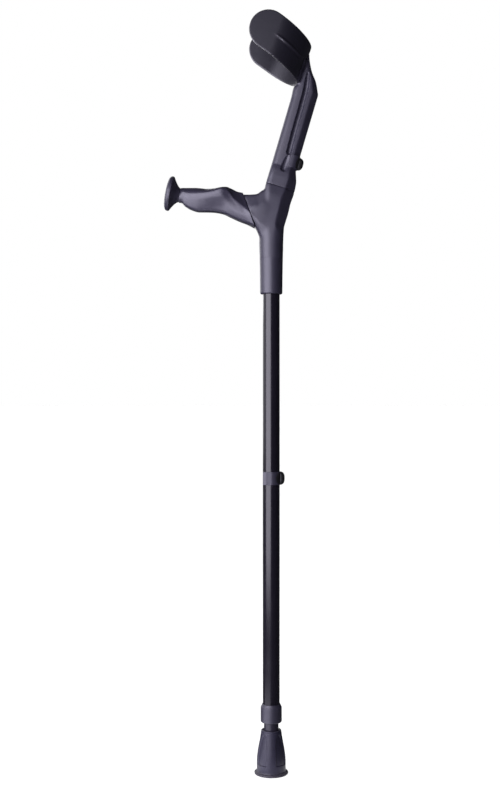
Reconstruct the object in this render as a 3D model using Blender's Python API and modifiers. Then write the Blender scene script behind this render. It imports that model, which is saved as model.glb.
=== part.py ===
"""Forearm crutch: telescopic leg, anatomic handle with hand stop, height-adjustable forearm piece, open cuff.

The leg stands along +Z on the origin, the handle points to -X and the whole is symmetric about Y = 0.
Sizes are in metres.
"""

import math
from collections import namedtuple

import bmesh
import bpy
from mathutils import Vector

# Fits
GAP = 0.0003
HOLE_PLAY = 0.0004

# Leg tubes
TUBE_DIAMETER = 0.022
TUBE_WALL = 0.0012
TUBE_BOTTOM = 0.0700
TUBE_IN_HANDLE = 0.0795
INNER_TUBE_IN_FERRULE = 0.0101
INNER_TUBE_OVERRUN = 0.019
LEG_STOPS = 13
LEG_PITCH = 0.020
LEG_CLIP_HEIGHT = 0.386
LEG_CLIP_BAND = 0.017
LEG_CLIP_ARM = 0.0087

# Ferrule
FERRULE_HEIGHT = 0.0572
FERRULE_FLANGE_RADIUS = 0.0221
FERRULE_FLANGE = 0.003
FERRULE_BAND_RADIUS = 0.0189
FERRULE_BAND_TOP = 0.013
FERRULE_NECK_WALL = 0.0038
FERRULE_RIM_STEP = 0.0004
FERRULE_PETALS = 4
PETAL_DEPTH = 0.0012
PETAL_HALF_WIDTH = 0.0083
PETAL_TOP = 0.0525
TREAD_DEPTH = 0.0015
WASHER_THICKNESS = 0.0015

# Collar at the foot of the outer tube
COLLAR_HEIGHT = 0.024
COLLAR_WALL = 0.0025
COLLAR_LIP = 0.0027

# Handle: the bend is where the leg axis meets the axis of the forearm piece
BEND_HEIGHT = 0.7345
BEND_ABOVE_SLEEVE = 0.108
FOREARM_LEAN = math.radians(16.4)
MOUTH_ALONG = 0.0328
GRIP_REACH = 0.1199
STOP_DIAMETER = 0.0452
STOP_TILT = math.radians(11.0)
STOP_NECK = 0.0140
STOP_NECK_RADIUS = 0.0092
GRIP_EDGE = 0.0042

# Stub: flat tube fixed in the handle, on which the forearm piece slides
STUB_DEPTH = 0.022
STUB_WIDTH = 0.011
STUB_WALL = 0.0015
STUB_CORNER = 0.0035
STUB_BOTTOM = -0.014
STUB_TOP = 0.155
FOREARM_STOPS = 7
FOREARM_PITCH = 0.010

# Forearm piece
UPRIGHT_FRONT = 0.0172
UPRIGHT_REAR = 0.0159
UPRIGHT_HALF_WIDTH = 0.0100
UPRIGHT_CORNER = 0.0080
FOOT_FLARE = 0.0059
FOOT_HALF_WIDTH = 0.0120
UPRIGHT_BEND = 0.165
GROOVE_RADIUS = 0.0024
GROOVE_DEPTH = 0.0030
FOREARM_CLIP_ALONG = 0.0695
FOREARM_CLIP_BAND = 0.0165
FOREARM_CLIP_WALL = 0.0014
FOREARM_CLIP_REACH = 0.0109

# Cuff: its frame sits on the middle of the outer back wall, where it meets the forearm piece
CUFF_RADIUS = 0.0464
CUFF_WALL = 0.0030
CUFF_BAND = 0.0495
CUFF_ARM = 0.0108
CUFF_RIM_SLOPE = math.radians(16.4)
CUFF_TIP = math.radians(3.0)
CUFF_MID_ALONG = 0.1950
CUFF_MID_AHEAD = 0.0114
CUFF_RIB_RADIUS = 0.0019
CUFF_RIB_PROUD = 0.0014
SADDLE_HALF_WIDTH = 0.0175
SADDLE_WALL = 0.0024

# Pins and screws
PIN_DIAMETER = 0.0050
FOREARM_PIN_DIAMETER = 0.0040
PIN_IN_BORE = 0.0028
SCREW_DIAMETER = 0.0040
SCREW_HEAD_DIAMETER = 0.0075
GRIP_SCREW_LENGTH = 0.036
TUBE_SCREW_ABOVE_SLEEVE = 0.060
STUB_SCREW_ALONG = 0.014
CUFF_SCREW_GRIP = 0.0052
CUFF_SCREW_SINK = 0.0003
CUFF_SCREW_HEIGHTS = {"cuff_screw_lower": -0.0165, "cuff_screw_upper": -0.0035}

# Fineness of round forms
TUBE_STEPS = 32
SMALL_STEPS = 16
BELL_STEPS = 36
RING_HALF_POINTS = 16

TUBE_RADIUS = TUBE_DIAMETER / 2
INNER_TUBE_RADIUS = TUBE_RADIUS - TUBE_WALL - GAP
INNER_BORE_RADIUS = INNER_TUBE_RADIUS - TUBE_WALL
SLEEVE_BORE_RADIUS = TUBE_RADIUS + GAP
SLEEVE_BOTTOM = BEND_HEIGHT - BEND_ABOVE_SLEEVE
TUBE_TOP = SLEEVE_BOTTOM + TUBE_IN_HANDLE
INNER_TUBE_TOP = LEG_CLIP_HEIGHT + (LEG_STOPS - 1) * LEG_PITCH + INNER_TUBE_OVERRUN
COLLAR_BOTTOM = TUBE_BOTTOM - GAP - COLLAR_LIP
STUB_HALF_DEPTH = STUB_DEPTH / 2
STUB_HALF_WIDTH = STUB_WIDTH / 2

Section = namedtuple("Section", "low high half corner bow dip", defaults=(0.0, 0.0))
GripSection = namedtuple("GripSection", "low high sides")


# Scene, materials and placing

def clear_scene():
    for obj in list(bpy.data.objects):
        bpy.data.objects.remove(obj, do_unlink=True)


def new_collection(name):
    collection = bpy.data.collections.new(name)
    bpy.context.scene.collection.children.link(collection)
    return collection


def make_material(name, colour, roughness, metallic=0.0):
    material = bpy.data.materials.new(name)
    material.use_nodes = True
    shader = material.node_tree.nodes["Principled BSDF"]
    shader.inputs["Base Color"].default_value = (*colour, 1.0)
    shader.inputs["Roughness"].default_value = roughness
    shader.inputs["Metallic"].default_value = metallic
    return material


def coated_aluminium():
    return make_material("coated_aluminium", (0.012, 0.012, 0.016), 0.22, 0.0)


def moulded_plastic():
    return make_material("moulded_plastic", (0.062, 0.058, 0.080), 0.50)


def soft_grip():
    return make_material("soft_grip", (0.066, 0.062, 0.085), 0.62)


def dark_rubber():
    return make_material("dark_rubber", (0.055, 0.052, 0.080), 0.70)


def bare_aluminium():
    return make_material("bare_aluminium", (0.62, 0.63, 0.65), 0.35, 1.0)


def zinc_steel():
    return make_material("zinc_steel", (0.55, 0.56, 0.58), 0.30, 1.0)


def link(obj, collection, parent=None, location=(0, 0, 0), rotation=(0, 0, 0)):
    collection.objects.link(obj)
    obj.parent = parent
    obj.location = location
    obj.rotation_euler = rotation
    return obj


def frame(name, collection, parent=None, location=(0, 0, 0), rotation=(0, 0, 0)):
    empty = bpy.data.objects.new(name, None)
    empty.empty_display_size = 0.01
    return link(empty, collection, parent, location, rotation)


def mesh_object(name, bm, smooth=math.radians(35)):
    bmesh.ops.recalc_face_normals(bm, faces=bm.faces)
    mesh = bpy.data.meshes.new(name)
    bm.to_mesh(mesh)
    bm.free()
    mesh.shade_smooth()
    mesh.set_sharp_from_angle(angle=smooth)
    return bpy.data.objects.new(name, mesh)


def as_mesh(curve_object):
    """The mesh of a curve object that isn't linked yet, with its caps welded."""
    bpy.context.scene.collection.objects.link(curve_object)
    bpy.context.view_layer.update()
    evaluated = curve_object.evaluated_get(bpy.context.evaluated_depsgraph_get())
    mesh = bpy.data.meshes.new_from_object(evaluated)
    bm = bmesh.new()
    bm.from_mesh(mesh)
    bmesh.ops.remove_doubles(bm, verts=bm.verts, dist=0.00001)
    name = curve_object.name
    bpy.data.objects.remove(curve_object, do_unlink=True)
    return mesh_object(name, bm)


def boolean(obj, cutter, operation="DIFFERENCE", joined=False):
    """Cut or join; joined says that the object already holds a union with faces nearly in line."""
    modifier = obj.modifiers.new(f"{operation.lower()}_{cutter.name}", "BOOLEAN")
    modifier.object = cutter
    modifier.operation = operation
    modifier.solver = "EXACT"
    modifier.use_self = joined


def hide_cutter(obj):
    obj.hide_render = True
    obj.display_type = "WIRE"
    return obj


# Shapes

def turned(name, profile, steps=TUBE_STEPS, closed=True):
    """Profile of (radius, height) round the local Z axis, its outer side from top to bottom."""
    bm = bmesh.new()
    points = [bm.verts.new((radius, 0, height)) for radius, height in profile]
    for first, second in zip(points, points[1:]):
        bm.edges.new((first, second))
    if closed:
        bm.edges.new((points[-1], points[0]))
    mesh = bpy.data.meshes.new(name)
    bm.to_mesh(mesh)
    bm.free()
    obj = bpy.data.objects.new(name, mesh)
    screw = obj.modifiers.new("turn", "SCREW")
    screw.steps = steps
    screw.render_steps = steps
    screw.use_merge_vertices = True
    screw.merge_threshold = 0.00001
    screw.use_smooth_shade = True
    return obj


def arc(centre, radius, start, end, steps):
    """Points of a plane arc from one angle to another, both in degrees."""
    angles = [math.radians(start + (end - start) * i / steps) for i in range(steps + 1)]
    return [(centre[0] + radius * math.cos(a), centre[1] + radius * math.sin(a)) for a in angles]


def rounded_rectangle(half_x, half_y, corner, steps=5):
    x, y = half_x - corner, half_y - corner
    return (
        arc((x, y), corner, 0, 90, steps)
        + arc((-x, y), corner, 90, 180, steps)
        + arc((-x, -y), corner, 180, 270, steps)
        + arc((x, -y), corner, 270, 360, steps)
    )


def prism(name, outline, bottom, top):
    """Flat outline in the local XY plane, raised from one height to another."""
    curve = bpy.data.curves.new(name, "CURVE")
    curve.dimensions = "2D"
    curve.fill_mode = "BOTH"
    curve.extrude = (top - bottom) / 2
    spline = curve.splines.new("POLY")
    spline.points.add(len(outline) - 1)
    for point, (x, y) in zip(spline.points, outline):
        point.co = (x, y, 0, 1)
    spline.use_cyclic_u = True
    obj = as_mesh(bpy.data.objects.new(name, curve))
    for vertex in obj.data.vertices:
        vertex.co.z += (top + bottom) / 2
    return obj


def rod(name, path, radius, swell):
    """Round rod along a path; swell gives the share of the radius at each point."""
    curve = bpy.data.curves.new(name, "CURVE")
    curve.dimensions = "3D"
    curve.bevel_depth = radius
    curve.bevel_resolution = 2
    curve.use_fill_caps = True
    spline = curve.splines.new("POLY")
    spline.points.add(len(path) - 1)
    for point, place, share in zip(spline.points, path, swell):
        point.co = (*place, 1)
        point.radius = share
    return as_mesh(bpy.data.objects.new(name, curve))


def cylinder(name, radius, start, end, steps=SMALL_STEPS):
    """Plain round bar between two points."""
    start, end = Vector(start), Vector(end)
    bm = bmesh.new()
    bmesh.ops.create_cone(
        bm, cap_ends=True, segments=steps, radius1=radius, radius2=radius, depth=(end - start).length
    )
    turn = (end - start).to_track_quat("Z", "Y").to_matrix().to_4x4()
    turn.translation = (start + end) / 2
    bmesh.ops.transform(bm, matrix=turn, verts=bm.verts)
    return mesh_object(name, bm)


def section_ring(section, half_points=RING_HALF_POINTS):
    """Closed ring across Y between a low and a high point of the XZ plane.

    Its side is a rounded rectangle of the given half width and corner. A bow bends the ring
    out of its plane, and a dip draws the middle of both sides in.
    """
    low, high = Vector(section.low), Vector(section.high)
    reach = (high - low).length / 2
    along = (high - low).normalized()
    across = Vector((along.y, -along.x))
    corner = min(section.corner, reach, section.half)
    side = []
    for i in range(half_points):
        p = -reach * math.cos(math.pi * (i + 0.5) / half_points)
        beyond = max(0.0, abs(p) - (reach - corner))
        y = section.half - corner + math.sqrt(max(0.0, corner**2 - beyond**2))
        y -= section.dip * math.exp(-((p / (reach * 0.33)) ** 2))
        at = (low + high) / 2 + along * p + across * section.bow * (1 - (p / reach) ** 2)
        side.append((at.x, y, at.y))
    return side + [(x, -y, z) for x, y, z in reversed(side)]


def grip_ring(section, steps=5):
    """Closed ring across Y whose sides run through four (share of the height, half width) corners."""
    low, high = Vector(section.low), Vector(section.high)
    height = (high - low).length
    outline = [Vector((0, 0))] + [Vector((share * height, half)) for share, half in section.sides]
    outline.append(Vector((height, 0)))
    side = []
    for before, at, after in zip(outline, outline[1:], outline[2:]):
        reach = min(GRIP_EDGE, (at - before).length * 0.45, (after - at).length * 0.45)
        start = at + (before - at).normalized() * reach
        end = at + (after - at).normalized() * reach
        for i in range(steps):
            t = i / (steps - 1)
            p = start * (1 - t) ** 2 + at * 2 * t * (1 - t) + end * t**2
            place = low + (high - low) * (p.x / height)
            side.append((place.x, p.y, place.y))
    return side + [(x, -y, z) for x, y, z in reversed(side)]


def loft(name, rings):
    bm = bmesh.new()
    loops = [[bm.verts.new(point) for point in ring] for ring in rings]
    count = len(loops[0])
    for near, far in zip(loops, loops[1:]):
        for i in range(count):
            j = (i + 1) % count
            bm.faces.new((near[i], near[j], far[j], far[i]))
    bm.faces.new(loops[0])
    bm.faces.new(loops[-1])
    return mesh_object(name, bm)


def grown(section, by):
    """The same section, larger all round."""
    low, high = Vector(section.low), Vector(section.high)
    along = (high - low).normalized() * by
    return section._replace(
        low=low - along, high=high + along, half=section.half + by, corner=section.corner + by
    )


# Leg

def ferrule(collection, cutters, parent, material):
    bore = INNER_TUBE_RADIUS + GAP
    neck = bore + FERRULE_NECK_WALL
    rim = neck - FERRULE_RIM_STEP
    floor = INNER_TUBE_IN_FERRULE - WASHER_THICKNESS - 2 * GAP
    chamfer = 0.0012
    bell_height = PETAL_TOP - FERRULE_BAND_TOP

    def bell(share, inset=0.0):
        """Point of the bell's outline, from 0 at the band to 1 under the top rim."""
        radius = FERRULE_BAND_RADIUS + (neck - FERRULE_BAND_RADIUS) * (share**2.3 * (2.3 - 1.3 * share))
        return radius - inset, FERRULE_BAND_TOP + bell_height * share

    def bell_line(inset=0.0):
        return [bell(i / 6, inset) for i in range(6, -1, -1)]

    tread, tread_half = FERRULE_FLANGE_RADIUS * 0.62, 0.0020
    flange_edge = 0.0008
    profile = (
        [(0.0, floor), (bore, floor), (bore, FERRULE_HEIGHT - chamfer / 2), (bore + chamfer / 2, FERRULE_HEIGHT)]
        + [(rim - chamfer / 2, FERRULE_HEIGHT), (rim, FERRULE_HEIGHT - chamfer / 2)]
        + [(rim, PETAL_TOP + 1.4 * chamfer), (neck, PETAL_TOP + chamfer)]
        + bell_line()
        + [(FERRULE_BAND_RADIUS, FERRULE_FLANGE + flange_edge)]
        + [(FERRULE_BAND_RADIUS + flange_edge, FERRULE_FLANGE)]
        + [(FERRULE_FLANGE_RADIUS - flange_edge, FERRULE_FLANGE)]
        + [(FERRULE_FLANGE_RADIUS, FERRULE_FLANGE - flange_edge), (FERRULE_FLANGE_RADIUS, flange_edge)]
        + [(FERRULE_FLANGE_RADIUS - flange_edge, 0.0)]
        + [(tread + tread_half, 0.0), (tread + tread_half * 0.6, TREAD_DEPTH)]
        + [(tread - tread_half * 0.6, TREAD_DEPTH), (tread - tread_half, 0.0)]
        + [(0.0, 0.0)]
    )
    foot = link(turned("ferrule", profile, BELL_STEPS, closed=False), collection, parent)
    foot.data.materials.append(material)
    petals(foot, bell, bell_line, cutters, parent)


def petals(foot, bell, bell_line, cutters, parent):
    """Arched recesses of even depth round the bell of the ferrule."""
    below, above = FERRULE_BAND_TOP - 0.001, PETAL_TOP + 0.003
    core_line = bell_line(PETAL_DEPTH)
    core_profile = [(0.0, above), (core_line[0][0], above)] + core_line + [(core_line[-1][0], below), (0.0, below)]
    core = hide_cutter(link(turned("petal_floor", core_profile, BELL_STEPS, closed=False), cutters, parent))
    height = PETAL_TOP - FERRULE_BAND_TOP
    right = []
    for i in range(9):
        share = math.sin(math.radians(90 * i / 8))
        right.append((PETAL_HALF_WIDTH * (1 - share**2.6) ** 0.5, FERRULE_BAND_TOP + height * share))
    outline = right + [(-x, z) for x, z in reversed(right[:-1])]
    inner, outer = FERRULE_NECK_WALL, FERRULE_BAND_RADIUS + 0.003
    for i in range(FERRULE_PETALS):
        turn = math.tau * (i + 0.5) / FERRULE_PETALS
        cutter = prism(f"petal_{i + 1}", outline, inner, outer)
        hide_cutter(link(cutter, cutters, parent, rotation=(math.pi / 2, 0, turn)))
        boolean(cutter, core)
        boolean(foot, cutter)


def tube_profile(outer, inner, bottom, top, edge=0.0003):
    return [
        (inner + edge, top),
        (outer - edge, top),
        (outer, top - edge),
        (outer, bottom + edge),
        (outer - edge, bottom),
        (inner + edge, bottom),
        (inner, bottom + edge),
        (inner, top - edge),
    ]


def ferrule_washer(collection, parent, material):
    bottom = INNER_TUBE_IN_FERRULE - WASHER_THICKNESS - GAP
    profile = [(0.0, bottom + WASHER_THICKNESS), (INNER_TUBE_RADIUS, bottom + WASHER_THICKNESS)]
    profile += [(INNER_TUBE_RADIUS, bottom), (0.0, bottom)]
    washer = link(turned("ferrule_washer", profile, closed=False), collection, parent)
    washer.data.materials.append(material)


def inner_tube(collection, cutters, parent, material):
    """Lower tube with the row of stop holes in its rear wall."""
    profile = tube_profile(INNER_TUBE_RADIUS, INNER_BORE_RADIUS, INNER_TUBE_IN_FERRULE, INNER_TUBE_TOP)
    tube = link(turned("inner_tube", profile), collection, parent)
    tube.data.materials.append(material)
    bm = bmesh.new()
    for i in range(LEG_STOPS):
        hole = cylinder("hole", PIN_DIAMETER / 2 + HOLE_PLAY, (TUBE_RADIUS * 0.4, 0, 0), (TUBE_DIAMETER, 0, 0), 12)
        start = len(bm.verts)
        bm.from_mesh(hole.data)
        bm.verts.ensure_lookup_table()
        for vertex in bm.verts[start:]:
            vertex.co.z += LEG_CLIP_HEIGHT + i * LEG_PITCH
        bpy.data.objects.remove(hole, do_unlink=True)
    boolean(tube, hide_cutter(link(mesh_object("leg_stop_holes", bm), cutters, parent)))


def inner_tube_guide(collection, parent, material):
    """Plastic bush that closes the top of the lower tube and steadies it in the upper one."""
    plug = INNER_BORE_RADIUS - GAP
    flange, plug_length, wall = 0.0025, 0.012, 0.0022
    bottom = INNER_TUBE_TOP + GAP
    profile = [
        (plug - wall, bottom + flange),
        (INNER_TUBE_RADIUS - GAP, bottom + flange),
        (INNER_TUBE_RADIUS, bottom + flange * 0.7),
        (INNER_TUBE_RADIUS, bottom),
        (plug, bottom),
        (plug, bottom - plug_length),
        (plug - wall, bottom - plug_length),
    ]
    guide = link(turned("inner_tube_guide", profile), collection, parent)
    guide.data.materials.append(material)


def outer_tube(collection, cutters, parent, material):
    profile = tube_profile(TUBE_RADIUS, TUBE_RADIUS - TUBE_WALL, TUBE_BOTTOM, TUBE_TOP)
    tube = link(turned("outer_tube", profile), collection, parent)
    tube.data.materials.append(material)
    start, end = (TUBE_RADIUS * 0.5, 0, LEG_CLIP_HEIGHT), (TUBE_DIAMETER, 0, LEG_CLIP_HEIGHT)
    hole = cylinder("outer_tube_hole", PIN_DIAMETER / 2 + HOLE_PLAY, start, end)
    boolean(tube, hide_cutter(link(hole, cutters, parent)))
    height = SLEEVE_BOTTOM + TUBE_SCREW_ABOVE_SLEEVE
    screw_hole = cylinder(
        "outer_tube_screw_hole",
        SCREW_DIAMETER / 2 + HOLE_PLAY,
        (TUBE_RADIUS * 0.5, 0, height),
        (TUBE_DIAMETER, 0, height),
    )
    boolean(tube, hide_cutter(link(screw_hole, cutters, parent)))


def outer_tube_collar(collection, parent, material):
    """Plastic bush at the foot of the outer tube, whose lip guides the lower tube."""
    bore = TUBE_RADIUS + GAP
    lip = INNER_TUBE_RADIUS + GAP
    radius = bore + COLLAR_WALL
    top = COLLAR_BOTTOM + COLLAR_HEIGHT
    chamfer = 0.0014
    profile = [
        (bore, top),
        (bore + 0.0005, top),
        (radius - 0.0006, top - 2.2 * chamfer),
        (radius, top - 2.8 * chamfer),
        (radius, COLLAR_BOTTOM + chamfer),
        (radius - chamfer, COLLAR_BOTTOM),
        (lip, COLLAR_BOTTOM),
        (lip, COLLAR_BOTTOM + COLLAR_LIP),
        (bore, COLLAR_BOTTOM + COLLAR_LIP),
    ]
    collar = link(turned("outer_tube_collar", profile), collection, parent)
    collar.data.materials.append(material)


# Clips: a sprung band round a tube with a thumb knob that carries the stop pin

def clip_outline(half_width, back, corner, reach, wall, pinch=0.0):
    """U in the XY plane, open to -X, round a back of the given corner."""
    inner_x, inner_y = back - corner, half_width - corner
    front = back - reach
    inner = arc((inner_x, inner_y), corner, 90, 0, 8) + arc((inner_x, -inner_y), corner, 0, -90, 8)
    if inner_y < 1e-6:
        inner = arc((inner_x, 0), corner, 90, -90, 16)
    outer_corner = corner + wall
    outer = arc((inner_x, -inner_y), outer_corner, -90, 0, 8) + arc((inner_x, inner_y), outer_corner, 0, 90, 8)
    if inner_y < 1e-6:
        outer = arc((inner_x, 0), outer_corner, -90, 90, 16)
    tip_inner = half_width - pinch
    lower_tip = [(front, -tip_inner), (front - wall * 0.4, -tip_inner - wall / 2), (front, -tip_inner - wall * 0.9)]
    upper_tip = [(x, -y) for x, y in reversed(lower_tip)]
    return inner + lower_tip + outer + upper_tip


def knob_rings(start, length, height, width, flare=0.0):
    """Rings of a thumb knob along +X: full at its root, then tapered and rounded over its end."""
    stages = ((0.0, 1.0), (0.14, 0.97), (0.5, 0.86), (0.8, 0.74), (0.95, 0.62), (1.0, 0.50))
    rings = []
    for share, size in stages:
        x = start + length * share
        tall, wide = height * size / 2 + flare * (1 - share), width * size / 2
        rings.append(section_ring(Section((x, -tall), (x, tall), wide, min(tall, wide) * 0.55), 10))
    return rings


def clip(name, parts, parent, material, outline, band, knob, pin_hole):
    collection, cutters = parts
    body = link(prism(name, outline, -band / 2, band / 2), collection, parent)
    body.data.materials.append(material)
    boolean(body, hide_cutter(link(loft(f"{name}_knob", knob), cutters, parent)), "UNION")
    boolean(body, hide_cutter(link(pin_hole, cutters, parent)))


def pin(name, collection, parent, material, radius, start, end):
    """Stop pin along +X with a rounded tip at its start."""
    length = end - start
    edge = radius * 0.4
    profile = [(0.0, length), (radius, length), (radius, edge), (radius - edge * 0.4, edge * 0.3)]
    profile += [(radius - edge, 0.0), (0.0, 0.0)]
    obj = link(turned(name, profile, SMALL_STEPS, closed=False), collection, parent, (start, 0, 0), (0, math.pi / 2, 0))
    obj.data.materials.append(material)


def leg_clip(collection, cutters, parent, plastic, steel):
    back = TUBE_RADIUS + GAP
    wall = 0.0009
    outline = clip_outline(back, back, back, back + LEG_CLIP_ARM, wall, pinch=0.0005)
    knob = knob_rings(back + wall * 0.5, 0.0058, 0.0165, 0.0130)
    pin_end = back + 0.0034
    radius = PIN_DIAMETER / 2
    hole = cylinder("leg_pin_hole", radius + GAP, (back - 0.002, 0, 0), (pin_end + GAP, 0, 0))
    clip("leg_clip", (collection, cutters), parent, plastic, outline, LEG_CLIP_BAND, knob, hole)
    pin("leg_clip_pin", collection, parent, steel, radius, INNER_TUBE_RADIUS - PIN_IN_BORE, pin_end)


def forearm_clip(collection, cutters, parent, plastic, steel):
    back = UPRIGHT_REAR + GAP
    half = UPRIGHT_HALF_WIDTH + GAP
    wall = FOREARM_CLIP_WALL
    outline = clip_outline(half, back, UPRIGHT_CORNER + GAP, FOREARM_CLIP_REACH, wall)
    knob = knob_rings(back + wall * 0.5, 0.0058, 0.0160, 0.0120)
    pin_end = back + 0.0040
    radius = FOREARM_PIN_DIAMETER / 2
    hole = cylinder("forearm_pin_hole", radius + GAP, (back - 0.002, 0, 0), (pin_end + GAP, 0, 0))
    clip("forearm_clip", (collection, cutters), parent, plastic, outline, FOREARM_CLIP_BAND, knob, hole)
    pin("forearm_clip_pin", collection, parent, steel, radius, STUB_HALF_DEPTH - PIN_IN_BORE, pin_end)


# Handle

def lean(ahead, along):
    """Point of the XZ plane seen from the bend: offset behind the forearm axis, and along it."""
    sine, cosine = math.sin(FOREARM_LEAN), math.cos(FOREARM_LEAN)
    return (along * sine + ahead * cosine, along * cosine - ahead * sine)


def column_sections():
    """Sleeve round the leg tube that bends back into the mouth below the forearm piece.

    Each row: height seen from the bend, front wall, rear wall, side wall, and rise of the front.
    """
    bore = SLEEVE_BORE_RADIUS
    foot = -BEND_ABOVE_SLEEVE
    walls = (
        (foot, 0.0020, 0.0020, 0.0020, 0.0),
        (foot + 0.0006, 0.0028, 0.0028, 0.0028, 0.0),
        (foot + 0.0018, 0.0033, 0.0033, 0.0033, 0.0),
        (foot + 0.0140, 0.0034, 0.0034, 0.0034, 0.0),
        (-0.0620, 0.0039, 0.0039, 0.0040, 0.0),
        (-0.0365, 0.0045, 0.0045, 0.0046, 0.0),
        (-0.0200, 0.0045, 0.0054, 0.0047, 0.0025),
        (-0.0110, 0.0043, 0.0077, 0.0046, 0.0033),
        (-0.0020, 0.0042, 0.0104, 0.0044, 0.0040),
    )
    sections = []
    for height, front, rear, side, rise in walls:
        low, high = (-bore - front, height + rise), (bore + rear, height - rise / 2)
        sections.append(Section(low, high, bore + side, bore + side - rise))
    depth = STUB_HALF_DEPTH + GAP
    width = STUB_HALF_WIDTH + GAP
    for along, front, rear, side, corner in (
        (0.0180, 0.0038, 0.0100, 0.0090, 0.0100),
        (MOUTH_ALONG - 0.0008, 0.0038, 0.0106, 0.0078, 0.0085),
        (MOUTH_ALONG, 0.0034, 0.0102, 0.0074, 0.0081),
    ):
        low, high = lean(-depth - front, along), lean(depth + rear, along)
        sections.append(Section(low, high, width + side, corner))
    return sections


def arm_sections():
    """Core of the grip and the web that joins it to the column, from the front to the rear."""
    front = -GRIP_REACH
    bore = SLEEVE_BORE_RADIUS
    return [
        Section((front + 0.0080, 0.0120), (front + 0.0080, 0.0240), 0.0052, 0.0045),
        Section((-0.0600, 0.0040), (-0.0600, 0.0232), 0.0074, 0.0058),
        Section((-0.0420, -0.0070), (-0.0450, 0.0222), 0.0080, 0.0060),
        Section((-0.0300, -0.0130), (-0.0345, 0.0221), 0.0084, 0.0060),
        Section((-bore - 0.0107, -0.0185), (-bore - 0.0120, 0.0217), 0.0094, 0.0065),
        Section((-bore - 0.0070, -0.0258), (-bore - 0.0042, 0.0211), 0.0114, 0.0080),
        Section((-bore - 0.0041, -0.0360), (-bore + 0.0013, 0.0238), 0.0134, 0.0100),
        Section((-bore + 0.0033, -0.0400), (-bore + 0.0078, 0.0300), 0.0140, 0.0110),
    ]


def handle_body(collection, cutters, parent, material):
    """One moulding: sleeve, bent column with the stub's socket, and the core that carries the grip."""
    body = link(loft("handle_body", [section_ring(s) for s in column_sections()]), collection, parent)
    body.data.materials.append(material)
    arm = loft("handle_arm", [section_ring(s) for s in arm_sections()])
    boolean(body, hide_cutter(link(arm, cutters, parent)), "UNION")
    top = TUBE_TOP + GAP - BEND_HEIGHT
    bore = cylinder("sleeve_bore", SLEEVE_BORE_RADIUS, (0, 0, -BEND_ABOVE_SLEEVE - 0.005), (0, 0, top), TUBE_STEPS)
    boolean(body, hide_cutter(link(bore, cutters, parent)))
    outline = rounded_rectangle(STUB_HALF_DEPTH + GAP, STUB_HALF_WIDTH + GAP, STUB_CORNER + GAP)
    socket = prism("stub_socket", outline, STUB_BOTTOM - GAP, MOUTH_ALONG + 0.01)
    boolean(body, hide_cutter(link(socket, cutters, parent, rotation=(0, FOREARM_LEAN, 0))))
    for name, place, reach, tilt in rear_screws():
        hole = turned(f"{name}_hole", screw_profile(reach + GAP, GAP, head_room=0.01), SMALL_STEPS, closed=False)
        boolean(body, hide_cutter(link(hole, cutters, parent, place, (0, math.pi / 2 + tilt, 0))))
    pilot = cylinder("grip_screw_hole", SCREW_DIAMETER / 2 + GAP, (0, 0, 0), (0, 0, -GRIP_SCREW_LENGTH - GAP))
    boolean(body, hide_cutter(link(pilot, cutters, parent, stop_place(), stop_turn())))


def rear_screws():
    """Screws from behind that hold the tube and the stub: name, head's place, length and tilt."""
    tube_height = SLEEVE_BOTTOM + TUBE_SCREW_ABOVE_SLEEVE - BEND_HEIGHT
    tube_back = SLEEVE_BORE_RADIUS + 0.0042
    stub_back = STUB_HALF_DEPTH + GAP + 0.0099
    x, z = lean(stub_back, STUB_SCREW_ALONG)
    inside = TUBE_WALL + GAP + 0.0015
    return (
        ("handle_tube_screw", (tube_back, 0, tube_height), tube_back - TUBE_RADIUS + inside, 0.0),
        ("handle_stub_screw", (x, 0, z), stub_back - STUB_HALF_DEPTH + inside, FOREARM_LEAN),
    )


def screw_profile(length, clearance=0.0, head_room=0.0):
    """Countersunk screw round +Z, its head's face at the origin and its tip down -Z."""
    head = SCREW_HEAD_DIAMETER / 2 + clearance
    shank = SCREW_DIAMETER / 2 + clearance
    cone = head - shank
    rim = 0.0006
    profile = [(0.0, head_room), (head, head_room)] if head_room else [(0.0, 0.0)]
    profile += [(head, 0.0), (head, -rim), (shank, -rim - cone), (shank, -length + shank * 0.4)]
    return profile + [(shank * 0.6, -length), (0.0, -length)]


def countersunk_screw(name, collection, parent, material, length, place, rotation):
    screw = link(turned(name, screw_profile(length), SMALL_STEPS, closed=False), collection, parent, place, rotation)
    screw.data.materials.append(material)


def handle_screws(collection, parent, material):
    for name, place, reach, tilt in rear_screws():
        countersunk_screw(name, collection, parent, material, reach, place, (0, math.pi / 2 + tilt, 0))


def stop_place():
    """Middle of the hand stop's disc, seen from the bend."""
    neck_x, neck_z = -GRIP_REACH - GAP, 0.02125
    return (neck_x - STOP_NECK * math.cos(STOP_TILT), 0, neck_z + STOP_NECK * math.sin(STOP_TILT))


def stop_turn():
    """Turn that brings local +Z to the front of the hand stop."""
    return (0, -math.pi / 2 + STOP_TILT, 0)


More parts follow.
